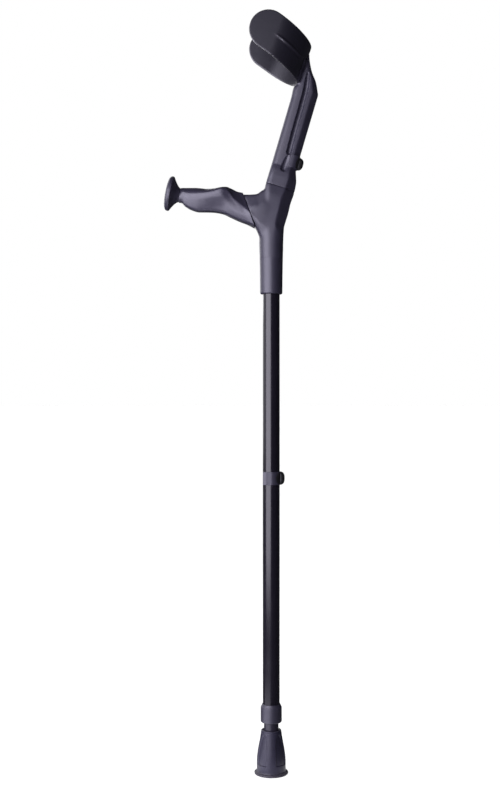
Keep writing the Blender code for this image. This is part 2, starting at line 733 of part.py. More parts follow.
def grip_sections():
    """Palm grip: widest along a crease under its top, narrower below, scooped away behind for the thumb."""
    front = -GRIP_REACH
    rows = (
        ((front - 0.0018, 0.0122), (front + 0.0018, 0.0303), (0.0058, 0.0090, 0.0092, 0.0056), 0.62),
        ((front + 0.0016, 0.0119), (front + 0.0048, 0.0305), (0.0064, 0.0098, 0.0112, 0.0062), 0.60),
        ((front + 0.0072, 0.0071), (front + 0.0112, 0.0304), (0.0078, 0.0106, 0.0136, 0.0066), 0.66),
        ((front + 0.0160, 0.0022), (front + 0.0190, 0.0304), (0.0088, 0.0118, 0.0155, 0.0078), 0.72),
        ((front + 0.0259, -0.0003), (front + 0.0279, 0.0298), (0.0094, 0.0124, 0.0166, 0.0092), 0.78),
        ((front + 0.0340, -0.0003), (front + 0.0359, 0.0289), (0.0098, 0.0128, 0.0172, 0.0106), 0.82),
        ((-0.0770, -0.0005), (-0.0760, 0.0290), (0.0100, 0.0130, 0.0176, 0.0120), 0.86),
        ((-0.0640, -0.0025), (-0.0655, 0.0302), (0.0102, 0.0133, 0.0177, 0.0132), 0.90),
        ((-0.0510, -0.0083), (-0.0585, 0.0308), (0.0104, 0.0136, 0.0172, 0.0128), 0.88),
        ((-0.0410, -0.0127), (-0.0510, 0.0286), (0.0106, 0.0138, 0.0163, 0.0112), 0.78),
        ((-0.0320, -0.0160), (-0.0440, 0.0254), (0.0112, 0.0142, 0.0148, 0.0106), 0.56),
        ((-0.0255, -0.0190), (-0.0400, 0.0246), (0.0128, 0.0155, 0.0134, 0.0104), 0.58),
        ((-0.0215, -0.0211), (-0.0372, 0.0241), (0.0140, 0.0166, 0.0128, 0.0104), 0.60),
    )
    sections = []
    for low, high, (foot, middle, crease, top), share in rows:
        sections.append(GripSection(low, high, ((0.0, foot), (0.32, middle), (share, crease), (1.0, top))))
    return sections


def grip_sleeve(collection, cutters, parent, material):
    pad = link(loft("grip_sleeve", [grip_ring(s) for s in grip_sections()]), collection, parent)
    pad.data.materials.append(material)
    first, *rest = arm_sections()
    ahead = first._replace(low=(first.low[0] - GAP, first.low[1]), high=(first.high[0] - GAP, first.high[1]))
    core = loft("grip_core_space", [section_ring(grown(s, GAP)) for s in (ahead, *rest)])
    boolean(pad, hide_cutter(link(core, cutters, parent)))
    hole = cylinder("grip_sleeve_hole", SCREW_DIAMETER / 2 + GAP, (0, 0, 0), (0, 0, -GRIP_SCREW_LENGTH))
    boolean(pad, hide_cutter(link(hole, cutters, parent, stop_place(), stop_turn())))


def hand_stop_disc(collection, parent, plastic, steel):
    """Mushroom-shaped stop: domed front, round rim, hollow cone down to its neck."""
    rim = STOP_DIAMETER / 2
    neck = STOP_NECK_RADIUS
    bore = SCREW_DIAMETER / 2 + GAP
    head = SCREW_HEAD_DIAMETER / 2 + GAP
    dome, seat, rim_thickness = 0.0042, 0.0018, 0.0038
    cone = []
    for i in range(6):
        share = i / 5
        radius = neck + (rim - 0.0007 - neck) * (1 - share) ** 1.5
        cone.append((radius, -rim_thickness - (STOP_NECK - rim_thickness) * share))
    profile = (
        [(head, seat), (head, dome), (rim * 0.45, dome * 0.96), (rim * 0.72, dome * 0.80)]
        + [(rim * 0.87, dome * 0.60), (rim * 0.96, dome * 0.26), (rim, -rim_thickness * 0.16)]
        + [(rim, -rim_thickness * 0.82)]
        + cone
        + [(bore, -STOP_NECK), (bore, seat)]
    )
    disc = link(turned("hand_stop_disc", profile, BELL_STEPS), collection, parent, stop_place(), stop_turn())
    disc.data.materials.append(plastic)
    shank = SCREW_DIAMETER / 2
    screw = [(0.0, dome - 0.0004), (head - GAP - 0.0006, dome - 0.0004), (head - GAP, dome - 0.0010)]
    screw += [(head - GAP, seat + GAP), (shank, seat + GAP), (shank, -GRIP_SCREW_LENGTH), (0.0, -GRIP_SCREW_LENGTH)]
    bolt = link(turned("grip_screw", screw, SMALL_STEPS, closed=False), collection, parent, stop_place(), stop_turn())
    bolt.data.materials.append(steel)


# Stub

def forearm_stub(collection, cutters, parent, material):
    """Flat tube with a row of stop holes in its rear edge."""
    outline = rounded_rectangle(STUB_HALF_DEPTH, STUB_HALF_WIDTH, STUB_CORNER)
    stub = link(prism("forearm_stub", outline, STUB_BOTTOM, STUB_TOP), collection, parent)
    stub.data.materials.append(material)
    inner = rounded_rectangle(STUB_HALF_DEPTH - STUB_WALL, STUB_HALF_WIDTH - STUB_WALL, STUB_CORNER - STUB_WALL)
    bore = prism("stub_bore", inner, STUB_BOTTOM - 0.005, STUB_TOP + 0.005)
    boolean(stub, hide_cutter(link(bore, cutters, parent)))
    bm = bmesh.new()
    holes = [(FOREARM_CLIP_ALONG + i * FOREARM_PITCH, FOREARM_PIN_DIAMETER) for i in range(FOREARM_STOPS)]
    for along, diameter in (*holes, (STUB_SCREW_ALONG, SCREW_DIAMETER)):
        start, end = (STUB_HALF_DEPTH - STUB_WALL * 2, 0, along), (STUB_DEPTH, 0, along)
        hole = cylinder("hole", diameter / 2 + HOLE_PLAY, start, end, 12)
        bm.from_mesh(hole.data)
        bpy.data.objects.remove(hole, do_unlink=True)
    boolean(stub, hide_cutter(link(mesh_object("stub_holes", bm), cutters, parent)))


def forearm_stub_cap(collection, cutters, parent, material):
    """Plastic plug that closes the top of the stub and guides the forearm piece."""
    flange, plug = 0.0022, 0.010
    bottom = STUB_TOP + GAP
    outline = rounded_rectangle(STUB_HALF_DEPTH, STUB_HALF_WIDTH, STUB_CORNER)
    cap = link(prism("forearm_stub_cap", outline, bottom, bottom + flange), collection, parent)
    cap.data.materials.append(material)
    inset = STUB_WALL + GAP
    inner = rounded_rectangle(STUB_HALF_DEPTH - inset, STUB_HALF_WIDTH - inset, STUB_CORNER - inset)
    boolean(cap, hide_cutter(link(prism("stub_plug", inner, bottom - plug, bottom + flange / 2), cutters, parent)), "UNION")


# Forearm piece

def cuff_point(behind, up):
    """Point of the XZ plane of the forearm piece, from offsets in the cuff's own frame."""
    sine, cosine = math.sin(CUFF_TIP), math.cos(CUFF_TIP)
    return (
        -CUFF_MID_AHEAD + behind * cosine + up * sine,
        CUFF_MID_ALONG - behind * sine + up * cosine,
    )


def upright_sections():
    """Foot block, double-rod shaft, and the neck that tapers out up the cuff's back wall."""
    ahead, behind, width, corner = UPRIGHT_FRONT, UPRIGHT_REAR, UPRIGHT_HALF_WIDTH, UPRIGHT_CORNER
    foot = MOUTH_ALONG + GAP
    clip_foot = FOREARM_CLIP_ALONG - FOREARM_CLIP_BAND / 2 - 0.0010
    rows = [
        (foot, ahead - 0.0008, behind + FOOT_FLARE - 0.0005, FOOT_HALF_WIDTH - 0.0005, corner * 0.62, 0.0),
        (foot + 0.0008, ahead - 0.0003, behind + FOOT_FLARE, FOOT_HALF_WIDTH, corner * 0.68, 0.0),
        (foot + 0.0110, ahead, behind + FOOT_FLARE * 0.85, FOOT_HALF_WIDTH, corner * 0.68, 0.0),
        (foot + 0.0190, ahead, behind + FOOT_FLARE * 0.45, FOOT_HALF_WIDTH - 0.0003, corner * 0.75, 0.0),
        (clip_foot - 0.0025, ahead, behind + FOOT_FLARE * 0.1, width + 0.0007, corner * 0.92, 0.0003),
        (clip_foot, ahead, behind, width, corner, 0.0006),
        (clip_foot + 0.0200, ahead, behind, width, corner, 0.0010),
        (UPRIGHT_BEND - 0.0160, ahead, behind, width, corner, 0.0010),
        (UPRIGHT_BEND - 0.0030, ahead + 0.0008, behind + 0.0002, width, corner, 0.0010),
    ]
    sections = [
        Section((-front, along), (rear, along), half, rounding, 0.0, dip)
        for along, front, rear, half, rounding, dip in rows
    ]
    band = CUFF_BAND / 2 / math.cos(CUFF_RIM_SLOPE)
    inside = -0.0030
    for low_up, high_up, behind, half in (
        (-1.05, -1.05, 0.0272, width),
        (-0.62, -0.62, 0.0206, width - 0.0002),
        (-0.24, -0.24, 0.0122, width - 0.0008),
        (0.12, 0.12, 0.0062, width - 0.0018),
        (0.46, 0.46, 0.0018, width - 0.0034),
        (0.60, 0.60, 0.0006, width - 0.0050),
    ):
        low, high = cuff_point(inside, band * low_up), cuff_point(behind, band * high_up)
        sections.append(Section(low, high, half, corner * 0.8, 0.0, 0.0006))
    return sections


def groove_cutters(cutters, parent):
    """Narrow grooves between the two rods of the shaft, and the wide shallow run-outs under them."""
    start = FOREARM_CLIP_ALONG + 0.0075
    bend = UPRIGHT_BEND
    depth_at = UPRIGHT_HALF_WIDTH - GROOVE_DEPTH + GROOVE_RADIUS
    path = [
        (0.0010, start - 0.0010),
        (0.0010, start),
        (0.0009, start + 0.0015),
        (0.0000, start + 0.0300),
        (-0.0004, bend - 0.0100),
        (-0.0012, bend + 0.0020),
        (-0.0024, bend + 0.0100),
        (-0.0040, bend + 0.0190),
        (-0.0046, bend + 0.0215),
    ]
    swell = (0.30, 0.75, 1.0, 1.0, 1.0, 1.0, 0.9, 0.6, 0.25)
    wide = 0.0046
    shallow = UPRIGHT_HALF_WIDTH - 0.0022 + wide
    foot = FOREARM_CLIP_ALONG - 0.0165
    run_out = [
        (-0.0005, foot),
        (-0.0004, foot + 0.0012),
        (-0.0003, foot + 0.0035),
        (0.0000, foot + 0.0120),
        (0.0006, foot + 0.0200),
        (0.0009, foot + 0.0250),
    ]
    run_out_swell = (0.45, 0.78, 1.0, 1.0, 0.75, 0.45)
    made = []
    for side, word in ((1, "left"), (-1, "right")):
        groove = rod(f"groove_{word}", [(x, side * depth_at, z) for x, z in path], GROOVE_RADIUS, swell)
        hollow = rod(f"run_out_{word}", [(x, side * shallow, z) for x, z in run_out], wide, run_out_swell)
        made += [hide_cutter(link(groove, cutters, parent)), hide_cutter(link(hollow, cutters, parent))]
    return made


def cuff_space(cutters, parent):
    """Space that the cuff fills with a clearance all round, cut out of the forearm piece."""
    radius = CUFF_RADIUS + GAP
    front = -CUFF_RADIUS - CUFF_ARM - CUFF_BAND
    plan = arc((-CUFF_RADIUS, 0), radius, -90, 90, 26) + [(front, radius), (front, -radius)]
    tall = 0.12
    space = hide_cutter(link(prism("cuff_space", plan, -tall, tall), cutters, parent))
    slope = math.tan(CUFF_RIM_SLOPE)
    half = CUFF_BAND / 2 / math.cos(CUFF_RIM_SLOPE) + GAP
    back = 0.02
    inner_face = -CUFF_WALL - GAP
    side = [(back, -half), (back, -back * slope + half), (front, -front * slope + half)]
    side += [(front, (inner_face - front) * slope - half), (inner_face, -half)]
    band = prism("cuff_space_band", side, -CUFF_BAND * 2, CUFF_BAND * 2)
    hide_cutter(link(band, cutters, parent, rotation=(math.pi / 2, 0, 0)))
    boolean(space, band, "INTERSECT")
    return space


def saddle_outline():
    """Slice of a ring behind the cuff's back wall."""
    inner = CUFF_RADIUS + GAP / 2
    outer = CUFF_RADIUS + SADDLE_WALL
    reach = math.degrees(math.asin(SADDLE_HALF_WIDTH / outer))
    centre = (-CUFF_RADIUS, 0)
    return arc(centre, outer, -reach, reach, 10) + arc(centre, inner, reach + 1.2, -reach - 1.2, 10)


def forearm_upright(collection, cutters, parent, cuff_frame, material):
    body = link(loft("forearm_upright", [section_ring(s) for s in upright_sections()]), collection, parent)
    body.data.materials.append(material)
    band = CUFF_BAND / 2 / math.cos(CUFF_RIM_SLOPE)
    saddle = prism("cuff_saddle", saddle_outline(), -band * 0.98, band * 0.20)
    boolean(body, hide_cutter(link(saddle, cutters, cuff_frame)), "UNION")
    boolean(body, cuff_space(cutters, cuff_frame), joined=True)
    for cutter in groove_cutters(cutters, parent):
        boolean(body, cutter)
    outline = rounded_rectangle(STUB_HALF_DEPTH + GAP, STUB_HALF_WIDTH + GAP, STUB_CORNER + GAP)
    space = prism("stub_space", outline, MOUTH_ALONG - 0.01, STUB_TOP + 0.0035)
    boolean(body, hide_cutter(link(space, cutters, parent)))
    start, end = (STUB_HALF_DEPTH, 0, FOREARM_CLIP_ALONG), (UPRIGHT_REAR + 0.01, 0, FOREARM_CLIP_ALONG)
    hole = cylinder("upright_pin_hole", FOREARM_PIN_DIAMETER / 2 + GAP, start, end)
    boolean(body, hide_cutter(link(hole, cutters, parent)))
    for name, up in CUFF_SCREW_HEIGHTS.items():
        pilot = cylinder(
            f"{name}_pilot", SCREW_DIAMETER / 2 + GAP, (-0.001, 0, up), (CUFF_SCREW_GRIP + GAP, 0, up)
        )
        boolean(body, hide_cutter(link(pilot, cutters, cuff_frame)))


# Cuff

def cuff_grid():
    """Outer face of the cuff: rows across the band, columns from one arm round the back to the other."""
    slope = CUFF_RIM_SLOPE
    half = CUFF_BAND / 2
    rows = [2 * i / 5 - 1 for i in range(6)]
    end_behind = -CUFF_RADIUS - CUFF_ARM

    def on_wall(behind, side):
        inside = max(0.0, behind + CUFF_RADIUS)
        return side * math.sqrt(max(0.0, CUFF_RADIUS**2 - inside**2))

    def end_point(forward, across):
        """Point of the straight end, from offsets along and across the band."""
        behind = end_behind - forward * math.cos(slope) + across * math.sin(slope)
        up = -end_behind * math.tan(slope) + forward * math.sin(slope) + across * math.cos(slope)
        return behind, up

    tip_angle = math.radians(14)
    arm = []
    tip = [share * math.sin(tip_angle) * half for share in rows]
    arm.append([end_point(math.sqrt(half**2 - across**2), across) for across in tip])
    for i in range(1, 9):
        angle = tip_angle + (math.pi / 2 - tip_angle) * i / 8
        arm.append([end_point(half * math.cos(angle), share * half * math.sin(angle)) for share in rows])
    arm_start = [(-CUFF_RADIUS, CUFF_RADIUS * math.tan(slope) + share * half / math.cos(slope)) for share in rows]
    for i in range(1, 3):
        arm.append([
            tuple(a + (b - a) * i / 3 for a, b in zip(outer, inner))
            for outer, inner in zip(arm[8], arm_start)
        ])
    columns = [[(behind, on_wall(behind, -1), up) for behind, up in column] for column in arm]
    turns = 24
    for i in range(turns + 1):
        angle = -math.pi / 2 + math.pi * i / turns
        behind = CUFF_RADIUS * (math.cos(angle) - 1)
        middle = -behind * math.tan(slope)
        columns.append([
            (behind, CUFF_RADIUS * math.sin(angle), middle + share * half / math.cos(slope)) for share in rows
        ])
    columns += [[(behind, on_wall(behind, 1), up) for behind, up in column] for column in reversed(arm)]
    return columns


def cuff(collection, cutters, parent, material):
    bm = bmesh.new()
    columns = [[bm.verts.new(point) for point in column] for column in cuff_grid()]
    for near, far in zip(columns, columns[1:]):
        for i in range(len(near) - 1):
            bm.faces.new((near[i], far[i], far[i + 1], near[i + 1]))
    mesh = bpy.data.meshes.new("cuff")
    bm.to_mesh(mesh)
    bm.free()
    mesh.shade_smooth()
    shell = link(bpy.data.objects.new("cuff", mesh), collection, parent)
    shell.data.materials.append(material)
    wall = shell.modifiers.new("wall", "SOLIDIFY")
    wall.thickness = CUFF_WALL
    wall.offset = -1.0
    wall.use_even_offset = True
    rims = shell.modifiers.new("rims", "BEVEL")
    rims.width = CUFF_WALL * 0.3
    rims.segments = 2
    rims.limit_method = "ANGLE"
    rims.angle_limit = math.radians(50)
    for side, word in ((1, "left"), (-1, "right")):
        boolean(shell, cuff_rib(word, side, cutters, parent), "UNION")
    for name, up in CUFF_SCREW_HEIGHTS.items():
        depth = CUFF_WALL + GAP
        profile = screw_profile(depth + 0.002, GAP, head_room=0.01)
        hole = turned(f"{name}_seat", profile, SMALL_STEPS, closed=False)
        place = (-CUFF_WALL + CUFF_SCREW_SINK, 0, up)
        boolean(shell, hide_cutter(link(hole, cutters, parent, place, (0, -math.pi / 2, 0))))


def cuff_rib(word, side, cutters, parent):
    """Raised rib along the middle of one outer side, which carries on the line of the neck."""
    radius = CUFF_RADIUS + CUFF_RIB_PROUD - CUFF_RIB_RADIUS
    last = math.degrees(math.asin((SADDLE_HALF_WIDTH + 0.0028) / radius))
    front = 97.0
    steps = 14
    path = []
    for i in range(steps + 1):
        angle = math.radians(front + (last - front) * i / steps)
        behind = radius * math.cos(angle) - CUFF_RADIUS
        across = radius * math.sin(angle) if angle < math.pi / 2 else radius
        path.append((behind, side * across, -behind * math.tan(CUFF_RIM_SLOPE)))
    swell = [min(1.0, 0.45 + 0.4 * min(i, steps - i)) for i in range(steps + 1)]
    return hide_cutter(link(rod(f"cuff_rib_{word}", path, CUFF_RIB_RADIUS, swell), cutters, parent))


def cuff_screws(collection, parent, material):
    for name, up in CUFF_SCREW_HEIGHTS.items():
        length = CUFF_WALL + CUFF_SCREW_GRIP - CUFF_SCREW_SINK
        place = (-CUFF_WALL + CUFF_SCREW_SINK, 0, up)
        countersunk_screw(name, collection, parent, material, length, place, (0, -math.pi / 2, 0))


def main():
    clear_scene()
    parts = new_collection("forearm_crutch")
    cutters = new_collection("cutters")
    coated, plastic, pad = coated_aluminium(), moulded_plastic(), soft_grip()
    rubber, bare, steel = dark_rubber(), bare_aluminium(), zinc_steel()

    leg_slide = frame("leg_slide", parts)
    ferrule(parts, cutters, leg_slide, rubber)
    ferrule_washer(parts, leg_slide, steel)
    inner_tube(parts, cutters, leg_slide, coated)
    inner_tube_guide(parts, leg_slide, plastic)

    outer_tube(parts, cutters, None, coated)
    outer_tube_collar(parts, None, plastic)
    leg_clip_slide = frame("leg_clip_slide", parts, None, (0, 0, LEG_CLIP_HEIGHT))
    leg_clip(parts, cutters, leg_clip_slide, plastic, steel)

    bend = frame("bend", parts, None, (0, 0, BEND_HEIGHT))
    handle_body(parts, cutters, bend, plastic)
    handle_screws(parts, bend, steel)
    grip_sleeve(parts, cutters, bend, pad)
    hand_stop_disc(parts, bend, plastic, steel)
    stub_frame = frame("stub_frame", parts, bend, rotation=(0, FOREARM_LEAN, 0))
    forearm_stub(parts, cutters, stub_frame, bare)
    forearm_stub_cap(parts, cutters, stub_frame, plastic)

    forearm_slide = frame("forearm_slide", parts, bend, rotation=(0, FOREARM_LEAN, 0))
    cuff_frame = frame(
        "cuff_frame", parts, forearm_slide, (-CUFF_MID_AHEAD, 0, CUFF_MID_ALONG), (0, CUFF_TIP, 0)
    )
    forearm_upright(parts, cutters, forearm_slide, cuff_frame, plastic)
    clip_slide = frame("forearm_clip_slide", parts, forearm_slide, (0, 0, FOREARM_CLIP_ALONG))
    forearm_clip(parts, cutters, clip_slide, plastic, steel)
    cuff(parts, cutters, cuff_frame, plastic)
    cuff_screws(parts, cuff_frame, steel)


main()
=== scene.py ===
"""Looks of a forearm crutch: detailed pieces, finishes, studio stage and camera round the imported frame.

Laid out as an add-on and run as a script. Everything is in metres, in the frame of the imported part.
"""

import math

import bmesh
import bpy
from mathutils import Matrix, Vector
from mathutils.bvhtree import BVHTree


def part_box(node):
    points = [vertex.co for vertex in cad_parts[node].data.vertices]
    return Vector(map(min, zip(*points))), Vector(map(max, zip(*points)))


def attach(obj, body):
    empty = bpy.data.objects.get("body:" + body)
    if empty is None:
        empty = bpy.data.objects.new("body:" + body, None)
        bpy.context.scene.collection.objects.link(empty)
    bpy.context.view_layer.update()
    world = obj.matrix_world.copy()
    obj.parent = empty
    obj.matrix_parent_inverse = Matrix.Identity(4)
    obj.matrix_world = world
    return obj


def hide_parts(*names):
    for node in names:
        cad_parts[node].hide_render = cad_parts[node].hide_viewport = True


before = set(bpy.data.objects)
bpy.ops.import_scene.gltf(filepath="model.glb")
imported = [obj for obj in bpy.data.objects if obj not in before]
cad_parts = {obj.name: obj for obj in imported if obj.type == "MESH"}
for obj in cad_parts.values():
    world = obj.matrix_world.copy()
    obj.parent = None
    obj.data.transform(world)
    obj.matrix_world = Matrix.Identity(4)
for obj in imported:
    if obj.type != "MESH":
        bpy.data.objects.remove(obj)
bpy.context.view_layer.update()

bl_info = {
    "name": "Forearm crutch",
    "version": (1, 0, 0),
    "blender": (4, 5, 0),
    "location": "View3D > Sidebar > Crutch",
    "description": "Builds the pieces, finishes and stage of a forearm crutch",
    "category": "Object",
}

TUBE_LOW, TUBE_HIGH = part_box("outer_tube")


# Sizes that several pieces share: tubes and screws, the flat tube, the forearm piece, the cuff

GAP = 0.0003
TUBE_RADIUS = round((TUBE_HIGH.y - TUBE_LOW.y) / 2, 4)
TUBE_WALL = 0.0012
INNER_RADIUS = TUBE_RADIUS - TUBE_WALL - GAP
SLEEVE_BORE = TUBE_RADIUS + GAP
LEG_CLIP_HEIGHT, LEG_STOPS, LEG_PITCH = 0.386, 13, 0.020
TUBE_SCREW_DROP = 0.048
STOP_HEIGHT, STOP_LENGTH, STOP_SCREW_LENGTH = 0.02125, 0.0140, 0.036
SCREW_HEAD, SCREW_SHANK = 0.00375, 0.0020
PILOT_RADIUS, WIDE_PILOT_RADIUS = 0.0023, 0.0024

LEAN = math.radians(16.4)
STUB_DEPTH, STUB_WIDTH, STUB_CORNER, STUB_WALL = 0.022, 0.011, 0.0035, 0.0015
STUB_BOTTOM, STUB_TOP, STUB_SCREW_ALONG = -0.014, 0.155, 0.014
MOUTH_ALONG = 0.0328
FOREARM_CLIP_ALONG, FOREARM_CLIP_BAND = 0.0695, 0.0165
FOREARM_STOPS, FOREARM_PITCH = 7, 0.010
SHAFT_BEHIND, SHAFT_HALF, SHAFT_CORNER, SHAFT_BEND = 0.0159, 0.0100, 0.0080, 0.165

CUFF_AHEAD, CUFF_ALONG, CUFF_TIP = -0.0114, 0.1950, math.radians(3.0)
CUFF_WALL, CUFF_ARM = 0.0030, 0.0108
CUFF_SCREW_SEAT, CUFF_SCREW_HEIGHTS = -0.0027, (-0.0165, -0.0035)


# Settings

class CrutchSizes(bpy.types.PropertyGroup):
    """Sizes of the visible pieces."""

    bend_height: bpy.props.FloatProperty(
        name="Bend height", description="Height where the leg's axis meets that of the forearm piece",
        default=0.7345, min=0.4, max=1.2, unit="LENGTH",
    )
    forearm_lean: bpy.props.FloatProperty(
        name="Forearm lean", description="Lean of the forearm piece from the vertical", default=LEAN,
        subtype="ANGLE",
    )
    grip_reach: bpy.props.FloatProperty(
        name="Grip reach", description="From the leg's axis to the front end of the grip", default=0.1199,
        unit="LENGTH",
    )
    stop_diameter: bpy.props.FloatProperty(
        name="Hand stop diameter", description="Outer diameter of the hand stop's disc", default=0.0452,
        unit="LENGTH",
    )
    cuff_radius: bpy.props.FloatProperty(
        name="Cuff radius", description="Outer radius of the cuff's round back", default=0.0464,
        unit="LENGTH",
    )
    cuff_band: bpy.props.FloatProperty(
        name="Cuff band", description="Height of the cuff's band", default=0.0495, unit="LENGTH",
    )


class CrutchFinish(bpy.types.PropertyGroup):
    """Colours and gloss of the finishes."""

    plastic: bpy.props.FloatVectorProperty(
        name="Plastic", description="Colour of the anthracite mouldings",
        default=(0.021, 0.019, 0.035), subtype="COLOR", size=3, min=0.0, max=1.0,
    )
    grip: bpy.props.FloatVectorProperty(
        name="Grip", description="Colour of the grip",
        default=(0.026, 0.0235, 0.042), subtype="COLOR", size=3, min=0.0, max=1.0,
    )
    rubber: bpy.props.FloatVectorProperty(
        name="Rubber", description="Colour of the foot",
        default=(0.016, 0.0145, 0.031), subtype="COLOR", size=3, min=0.0, max=1.0,
    )
    coating: bpy.props.FloatVectorProperty(
        name="Coating", description="Colour of the tubes' coating",
        default=(0.007, 0.006, 0.011), subtype="COLOR", size=3, min=0.0, max=1.0,
    )
    plastic_roughness: bpy.props.FloatProperty(
        name="Plastic roughness", description="Roughness of the mouldings", default=0.46, min=0.0, max=1.0,
    )
    coating_roughness: bpy.props.FloatProperty(
        name="Coating roughness", description="Roughness of the tubes' coating",
        default=0.20, min=0.0, max=1.0,
    )


class CrutchStudio(bpy.types.PropertyGroup):
    """Lamps and floor."""

    key: bpy.props.FloatProperty(
        name="Key light", description="Power of the broad soft light on the left",
        default=24.5, unit="POWER",
    )
    key_colour: bpy.props.FloatVectorProperty(
        name="Key colour", description="Colour of the broad soft light",
        default=(0.97, 0.95, 1.0), subtype="COLOR", size=3, min=0.0, max=1.0,
    )
    back: bpy.props.FloatProperty(
        name="Back light", description="Power of each soft light behind the crutch",
        default=8.0, unit="POWER",
    )
    ambient: bpy.props.FloatProperty(
        name="Surroundings", description="Strength of the white surroundings as a light", default=0.045,
    )
    tent: bpy.props.FloatProperty(
        name="Tent glow", description="Brightness of the black tent in reflections", default=0.035,
    )
    floor: bpy.props.FloatVectorProperty(
        name="Floor", description="Colour of the floor",
        default=(0.80, 0.80, 0.80), subtype="COLOR", size=3, min=0.0, max=1.0,
    )


def size(name):
    """One of the sizes that the panel shows."""
    return getattr(bpy.context.scene.crutch_sizes, name)


def turned(place, angle):
    """Frame at a place, turned round Y."""
    return Matrix.Translation(place) @ Matrix.Rotation(angle, 4, "Y")


def bend_frame():
    return Matrix.Translation((0.0, 0.0, size("bend_height")))


def lean_frame(along=0.0):
    """Frame of the forearm piece, moved up its own axis."""
    lean = Matrix.Rotation(size("forearm_lean"), 4, "Y")
    return bend_frame() @ lean @ Matrix.Translation((0.0, 0.0, along))


def cuff_frame():
    place = Matrix.Translation((CUFF_AHEAD, 0.0, CUFF_ALONG))
    return lean_frame() @ place @ Matrix.Rotation(CUFF_TIP, 4, "Y")


def cuff_turn():
    """The cuff's frame seen from the forearm piece's own."""
    return lean_frame().inverted() @ cuff_frame()


# Mesh helpers

def linked(name, data):
    """New object in the scene."""
    obj = bpy.data.objects.new(name, data)
    bpy.context.scene.collection.objects.link(obj)
    return obj


def mesh_from(bm, name, outward=True):
    if outward:
        bmesh.ops.recalc_face_normals(bm, faces=bm.faces)
    mesh = bpy.data.meshes.new(name)
    bm.to_mesh(mesh)
    bm.free()
    return mesh


def join_loops(bm, near, far):
    """Faces between two closed loops of as many vertices."""
    for i in range(len(near)):
        j = (i + 1) % len(near)
        bm.faces.new((near[i], near[j], far[j], far[i]))


def arc(centre, radius, start, end, steps):
    angles = [math.radians(start + (end - start) * i / steps) for i in range(steps + 1)]
    return [(centre[0] + radius * math.cos(a), centre[1] + radius * math.sin(a)) for a in angles]


def rounded_rectangle(half_x, half_y, corner):
    x, y = half_x - corner, half_y - corner
    corners = ((x, y, 0), (-x, y, 90), (-x, -y, 180), (x, -y, 270))
    return [p for cx, cy, start in corners for p in arc((cx, cy), corner, start, start + 90, 10)]


def soft_corner(before, at, after, radius, part, count):
    """Points of a curve that cuts a corner, within the radius and a part of each side."""
    reach = min(radius, (at - before).length * part, (after - at).length * part)
    start, end = at + (before - at).normalized() * reach, at + (after - at).normalized() * reach
    shares = [i / (count - 1) for i in range(count)]
    return [start * (1 - t) ** 2 + at * 2 * t * (1 - t) + end * t**2 for t in shares]


def rounded(profile, radius, steps=4):
    """The same open outline with its corners rounded, as far as their sides allow."""
    points = [Vector(p) for p in profile]
    out = [points[0]]
    for corner in zip(points, points[1:], points[2:]):
        out += soft_corner(*corner, radius, 0.45, steps + 1)
    return out + [points[-1]]


def lathe(name, profile, steps, warp=None):
    """Profile of (radius, height) turned round Z; warp(x, y, z) may move each point."""
    bm = bmesh.new()
    loops = []
    for radius, height in profile:
        if radius < 1e-7:
            loops.append([bm.verts.new((0, 0, height))])
            continue
        angles = [math.tau * i / steps for i in range(steps)]
        points = [(radius * math.cos(a), radius * math.sin(a), height) for a in angles]
        loops.append([bm.verts.new(warp(*p) if warp else p) for p in points])
    if len(loops[0]) > 1 and len(loops[-1]) > 1:
        loops.append(loops[0])
    for near, far in zip(loops, loops[1:]):
        if len(near) == len(far):
            join_loops(bm, near, far)
            continue
        for i in range(steps):
            j = (i + 1) % steps
            bm.faces.new((near[0], far[i], far[j]) if len(near) == 1 else (near[i], near[j], far[0]))
    return mesh_from(bm, name)


def prism(name, outline, bottom, top):
    """Flat outline in XY raised from one height to another."""
    bm = bmesh.new()
    low = [bm.verts.new((x, y, bottom)) for x, y in outline]
    high = [bm.verts.new((x, y, top)) for x, y in outline]
    join_loops(bm, low, high)
    bm.faces.new(low)
    bm.faces.new(high)
    return mesh_from(bm, name)


def bar(name, radius, start, end, steps=32):
    """Plain round cutter between two points."""
    start, end = Vector(start), Vector(end)
    bm = bmesh.new()
    bmesh.ops.create_cone(
        bm, cap_ends=True, segments=steps, radius1=radius, radius2=radius, depth=(end - start).length
    )
    turn = (end - start).to_track_quat("Z", "Y").to_matrix().to_4x4()
    turn.translation = (start + end) / 2
    bmesh.ops.transform(bm, matrix=turn, verts=bm.verts)
    return mesh_from(bm, name)


def ring(row, half_points):
    """Closed ring across Y: a rounded rectangle between a low and a high point.

    Its sides curve in by a slope towards the low end, and slant in over a wedge before the high end.
    """
    low, high = Vector(row[:2]), Vector(row[2:4])
    half, corner, slope, wedge = row[4:]
    reach = (high - low).length / 2
    along = (high - low).normalized()
    corner = min(corner, reach, half)
    slant_rate, blend, least = 0.86, 0.0012, 0.0004
    side = []
    for i in range(half_points):
        p = -reach * math.cos(math.pi * (i + 0.5) / half_points)
        beyond = max(0.0, abs(p) - (reach - corner))
        y = half - corner + math.sqrt(max(0.0, corner**2 - beyond**2))
        y -= slope * max(0.0, -p / reach) ** 1.6
        if wedge > 0:
            slant = half - slant_rate * max(0.0, p - reach + wedge)
            y = (y + slant - math.sqrt((y - slant) ** 2 + blend**2)) / 2 + blend / 2
        at = (low + high) / 2 + along * p
        side.append((at.x, max(y, least), at.y))
    return side + [(x, -y, z) for x, y, z in reversed(side)]


def section(low, high, half, corner, slope=0.0, wedge=0.0):
    """Row of numbers for ring."""
    return (*low, *high, half, corner, slope, wedge)


